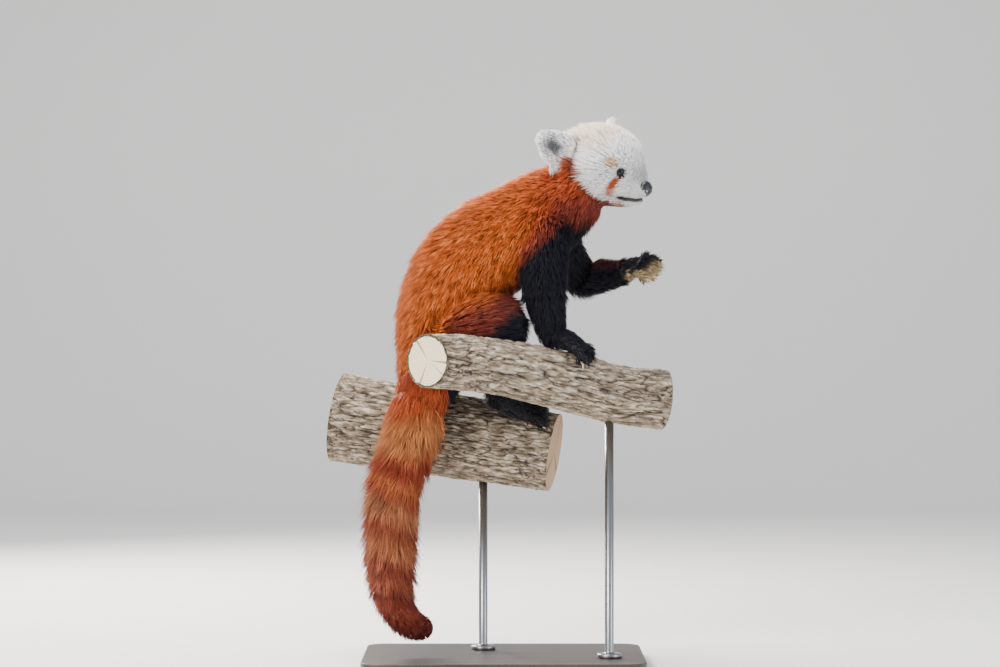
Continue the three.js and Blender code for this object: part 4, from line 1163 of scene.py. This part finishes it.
def bark_height(along_mm, round_mm, girth, salt):
    """Height of the bark in mm at a place along and round a branch: ridges that run along it, broken
    across in short blocks, with deep cracks between them and thin flakes on them."""
    turn = 2 * math.pi * round_mm / girth
    ring = girth / (2 * math.pi)
    y, z = ring * math.cos(turn), ring * math.sin(turn)
    warp = noise.noise_vector(Vector((along_mm * 0.022 + salt, y * 0.05, z * 0.05))) * 0.55
    warp += noise.noise_vector(Vector((along_mm * 0.08, y * 0.16 + salt, z * 0.16))) * 0.22
    first = abs(noise.noise(Vector((along_mm * 0.015, y * 0.12, z * 0.12)) + warp))
    second = abs(noise.noise(Vector((along_mm * 0.02 + 7, y * 0.14, z * 0.14 + salt)) - warp))
    broken = abs(noise.noise(Vector((along_mm * 0.06 + salt, y * 0.07, z * 0.07)) + warp * 1.2))
    crack = min(first * 6.0, second * 6.6, 0.5 + broken * 4.5, 1.0)
    flakes = noise.fractal(Vector((along_mm * 0.09, y * 0.34, z * 0.34)) + warp * 2, 0.8, 2.2, 5)
    swell = noise.noise(Vector((along_mm * 0.012, y * 0.02, z * 0.02 + salt)))
    plate = crack ** 0.65
    fine = min(max(0.5 + flakes * 0.9, 0), 1)
    return -BARK_DEEP + plate * 3.2 + flakes * (0.35 + 0.75 * plate) + swell * 1.8, plate, fine


def log_mesh(name, stations, salt, cut=None):
    """A branch as one closed skin of fine rings, its ends set in flat discs of their own material."""
    reach = np.linalg.norm(np.diff(spline(stations, np.linspace(0, 1, 60))[:, :3], axis=0), axis=1).sum()
    rows = int(reach / BARK_STEP)
    radius = np.mean([s[3] for s in stations])
    sides = int(2 * math.pi * radius / BARK_STEP)
    values, along, across, up = path_frames(stations, np.linspace(0, 1, rows), ACROSS)
    turns = np.linspace(0, 2 * math.pi, sides, endpoint=False)
    height = np.empty((rows, sides, 3))
    for i in range(rows):
        for j in range(sides):
            height[i, j] = bark_height(reach * i / (rows - 1), radius * turns[j], 2 * math.pi * radius, salt)
    rim = np.clip(np.minimum(np.arange(rows), np.arange(rows)[::-1]) / 3, 0, 1)[:, None]
    lift = height[:, :, 0] * (0.35 + 0.65 * rim)
    size = values[:, 3][:, None] + lift
    points = (values[:, None, :3] + across[:, None] * (np.cos(turns) * size)[:, :, None]
              + up[:, None] * (np.sin(turns) * size)[:, :, None])
    if cut is not None:
        place, facing = cut
        depth = (points - place) @ facing
        slope = (along @ facing)[:, None]
        points = points - np.where(depth > 0, depth / slope, 0)[:, :, None] * along[:, None]
    faces = strip_faces(rows, sides)
    flat = points.reshape(-1, 3)
    shades = [height[:, :, 1:].reshape(-1, 2)]
    for row in (0, rows - 1):
        centre = points[row].mean(axis=0)
        first = row * sides
        start = len(flat)
        shares = [1 - k / DISC_RINGS for k in range(1, DISC_RINGS)]
        discs = np.concatenate([centre + (points[row] - centre) * share for share in shares])
        flat = np.concatenate([flat, discs, centre[None]])
        shades.append(np.ones((len(discs) + 1, 2)))
        loops = [list(range(first, first + sides))]
        loops += [list(range(start + k * sides, start + (k + 1) * sides)) for k in range(DISC_RINGS - 1)]
        after = [(j + 1) % sides for j in range(sides)]
        for outer, inner in zip(loops, loops[1:]):
            faces += [(outer[j], inner[j], inner[after[j]], outer[after[j]]) for j in range(sides)]
        faces += [(loops[-1][j], len(flat) - 1, loops[-1][after[j]]) for j in range(sides)]
    shape = new_piece(name, (flat * MM).tolist(), faces)
    disc = 1 + (np.arange(len(faces)) - (rows - 1) * sides) // (DISC_RINGS * sides)  # 1 and 2 for the ends
    shape.data.polygons.foreach_set("material_index", np.maximum(disc, 0))
    shape.data.polygons.foreach_set("use_smooth", disc < 1)
    # The bark attribute carries the heights of the cracks and flakes, from which the bark material paints
    # its shade.
    set_colour(shape, "bark", np.concatenate(shades))
    in_edit_mode(shape, lambda: bpy.ops.mesh.dissolve_degenerate(threshold=0.00002), face_outward)
    return shape


def bark_material():
    """Weathered bark: grey-tan plates over the carved relief, painted dark brown down into the cracks and
    darker in the hollows among the flakes as painted shade, with the tops of the flakes a little paler.
    """
    material, tree, shader = new_material("weathered bark", Roughness=0.92)
    relief = add_node(tree, "ShaderNodeAttribute", attribute_name="bark")
    parts = add_node(tree, "ShaderNodeSeparateColor", {"Color": relief.outputs["Color"]})
    place = add_node(tree, "ShaderNodeTexCoord").outputs["Object"]
    streaks = add_node(tree, "ShaderNodeMapping", {"Vector": place, "Scale": (60.0, 190.0, 190.0)})
    blotch = add_node(tree, "ShaderNodeTexNoise", {"Vector": streaks.outputs["Vector"], "Scale": 1.0,
                                                   "Detail": 5.0})
    plates = colour_ramp(tree, blotch.outputs["Fac"], [(0.3, "5e4f3f"), (0.5, "95856f"), (0.72, "cdc0ad")])
    # Painted shade: the plates turn dark brown down into the cracks, by their depth.
    height = map_range(tree, parts.outputs["Red"], 0.12, 0.85)
    shade = add_node(tree, "ShaderNodeMix", {"Factor": height}, data_type="RGBA")
    shade.inputs[6].default_value = linear("2c2018")
    tree.links.new(plates, shade.inputs[7])
    # Painted shade among the flakes: half as bright in their hollows, a little brighter on their tops.
    fine = map_range(tree, parts.outputs["Green"], 0.1, 0.75, 0.5, 1.08)
    tint = add_node(tree, "ShaderNodeVectorMath", {0: shade.outputs[2], 1: fine}, operation="MULTIPLY")
    tree.links.new(tint.outputs["Vector"], shader.inputs["Base Color"])
    grain = add_node(tree, "ShaderNodeTexNoise", {"Vector": place, "Scale": 700.0, "Detail": 4.0})
    add_bump(tree, shader, grain.outputs["Fac"], 0.5, 0.0006)
    return material


def end_grain(name, centre, facing, width, light, dark, split_tint):
    """A sawn face: rings round the heart of the branch, with a few splits that run out from it."""
    material, tree, shader = new_material(name, Roughness=0.85)
    place = add_node(tree, "ShaderNodeTexCoord").outputs["Object"]
    facing = Vector(unit(np.array(facing, float)))
    over = facing.orthogonal().normalized()
    top = facing.cross(over)
    heart = tuple(Vector(centre) * MM)
    away = add_node(tree, "ShaderNodeVectorMath", {0: place, 1: heart}, operation="SUBTRACT")
    wobble = add_node(tree, "ShaderNodeTexNoise", {"Vector": place, "Scale": 60.0, "Detail": 3.0})
    flat = []
    for axis in (over, top):
        flat.append(add_node(tree, "ShaderNodeVectorMath", {0: away.outputs["Vector"], 1: tuple(axis)},
                             operation="DOT_PRODUCT").outputs["Value"])
    pair = add_node(tree, "ShaderNodeCombineXYZ", {"X": flat[0], "Y": flat[1]})
    far = add_node(tree, "ShaderNodeVectorMath", {0: pair.outputs["Vector"]}, operation="LENGTH")
    bent = add_node(tree, "ShaderNodeMath", {0: wobble.outputs["Fac"], 1: 0.005, 2: far.outputs["Value"]},
                    operation="MULTIPLY_ADD")
    wave = add_node(tree, "ShaderNodeMath", {0: bent.outputs["Value"], 1: 2 * math.pi / (width * MM)},
                    operation="MULTIPLY")
    ring = add_node(tree, "ShaderNodeMath", {0: wave.outputs["Value"]}, operation="SINE")
    share = map_range(tree, ring.outputs["Value"], -1.0, 1.0)
    colour = add_node(tree, "ShaderNodeMix", {"Factor": share}, data_type="RGBA")
    colour.inputs[6].default_value = linear(light)
    colour.inputs[7].default_value = linear(dark)
    turn = add_node(tree, "ShaderNodeMath", {0: flat[1], 1: flat[0]}, operation="ARCTAN2")
    spoke = add_node(tree, "ShaderNodeTexNoise", {"W": turn.outputs["Value"], "Scale": 2.6, "Detail": 1.0},
                     noise_dimensions="1D")
    split = map_range(tree, spoke.outputs["Fac"], 0.64, 0.655)
    cracked = add_node(tree, "ShaderNodeMix", {"Factor": split}, data_type="RGBA")
    tree.links.new(colour.outputs[2], cracked.inputs[6])
    cracked.inputs[7].default_value = linear(split_tint)
    saw = add_node(tree, "ShaderNodeTexNoise", {"Vector": place, "Scale": 420.0, "Detail": 3.0})
    add_bump(tree, shader, saw.outputs["Fac"], 0.3, 0.0005)
    tree.links.new(cracked.outputs[2], shader.inputs["Base Color"])
    return material


def log_end(stations, end):
    """The place of a branch's first (0) or last (-1) station, and the direction in which it runs there."""
    pair = (stations[0], stations[1]) if end == 0 else (stations[-2], stations[-1])
    heading = unit(np.array(pair[1][:3], float) - np.array(pair[0][:3], float))
    return stations[end][:3], heading


bark = bark_material()
log_front = log_mesh("branch_front", LOG_FRONT, 3.0, (SAWN_PLACE, SAWN_FACING))
pale_end = end_grain("pale sawn wood", SAWN_PLACE, SAWN_FACING, 3.6, "efe0c4", "d9c19a", "a98d66")
other_end = end_grain("sawn wood of the other end", *log_end(LOG_FRONT, -1), 3.2, "d8c4a2", "bfa47c",
                      "8d7350")
finish_piece(log_front, "perch_log_front", bark, pale_end, other_end, smooth=False,
             replaces=["perch_log_front"])
log_rear = log_mesh("branch_rear", LOG_REAR, 11.0)
aged_end = end_grain("aged sawn wood", *log_end(LOG_REAR, 0), 3.4, "b89c78", "99795a", "5c4733")
shaded_end = end_grain("aged sawn wood in the shade", *log_end(LOG_REAR, -1), 3.4, "b79a76", "98785a",
                       "5c4733")
finish_piece(log_rear, "perch_log_rear", bark, aged_end, shaded_end, smooth=False,
             replaces=["perch_log_rear"])


# The stand: a board of dark oiled wood with rounded corners and a soft edge. Two steel rods stand on it in
# turned flanges and run up into the branches.
BASE_LENGTH, BASE_WIDTH, BASE_THICK, BASE_CORNER, BASE_MIDDLE = 380, 250, 14, 26, (-2, 2)
CORNER_STEPS = 12
outline = []
for quarter, (sx, sy) in enumerate(((1, 1), (-1, 1), (-1, -1), (1, -1))):
    x = BASE_MIDDLE[0] + sx * (BASE_LENGTH / 2 - BASE_CORNER)
    y = BASE_MIDDLE[1] + sy * (BASE_WIDTH / 2 - BASE_CORNER)
    for step in range(CORNER_STEPS + 1):
        turn = math.pi / 2 * (quarter + step / CORNER_STEPS)
        outline.append((x + BASE_CORNER * math.cos(turn), y + BASE_CORNER * math.sin(turn)))
round_count = len(outline)
base_points = [(x * MM, y * MM, z * MM) for z in (0, BASE_THICK) for x, y in outline]
flat_faces = [tuple(range(round_count))[::-1], tuple(range(round_count, 2 * round_count))]
base = new_piece("display_base", base_points, flat_faces + strip_faces(2, round_count))
apply_modifier(base, "BEVEL", width=1.5 * MM, segments=3, limit_method="ANGLE")
board, board_tree, board_shader = new_material("dark oiled wood", Roughness=0.42)
board_place = add_node(board_tree, "ShaderNodeTexCoord").outputs["Object"]
board_map = add_node(board_tree, "ShaderNodeMapping", {"Vector": board_place, "Scale": (6.0, 90.0, 90.0)})
board_grain = add_node(board_tree, "ShaderNodeTexNoise",
                       {"Vector": board_map.outputs["Vector"], "Scale": 1.0, "Detail": 6.0})
board_colour = colour_ramp(board_tree, board_grain.outputs["Fac"], [(0.35, "2b241f"), (0.7, "4a3d33")])
board_tree.links.new(board_colour, board_shader.inputs["Base Color"])
finish_piece(base, "stand_base", board, smooth=False, replaces=["stand_base"])

steel, _, _ = new_material("brushed steel", Base_Color=linear("9a9c9e"), Metallic=1.0, Roughness=0.32)
RODS = {"front": (140, -46, 349), "rear": (-30, 54, 262)}  # place, and the height at which the branch sits
ROD_RADIUS, FLANGE_RADIUS, FLANGE_THICK, ROD_SIDES = 6, 17, 6, 48
REST_GAP = 0.3  # the foot of each flange stands this far clear of the board
for word, (x, y, top) in RODS.items():
    foot = BASE_THICK + REST_GAP
    profile = [(0, foot), (FLANGE_RADIUS - 0.5, foot),
               (FLANGE_RADIUS, foot + 0.5), (FLANGE_RADIUS, foot + 4),
               (FLANGE_RADIUS - 0.6, foot + 5.2), (FLANGE_RADIUS - 2, foot + FLANGE_THICK),
               (ROD_RADIUS + 2, foot + FLANGE_THICK), (ROD_RADIUS + 0.6, foot + 7), (ROD_RADIUS, foot + 9),
               (ROD_RADIUS, top), (0, top)]
    points = []
    for radius, height in profile:
        points += [((x + radius * math.cos(t)) * MM, (y + radius * math.sin(t)) * MM, height * MM)
                   for t in np.linspace(0, 2 * math.pi, ROD_SIDES, endpoint=False)]
    rod = new_piece("rod_" + word, points, strip_faces(len(profile), ROD_SIDES))
    in_edit_mode(rod, lambda: bpy.ops.mesh.remove_doubles(threshold=0.00001), face_outward)
    finish_piece(rod, "stand_rod_" + word, steel, replaces=["stand_rod_" + word])
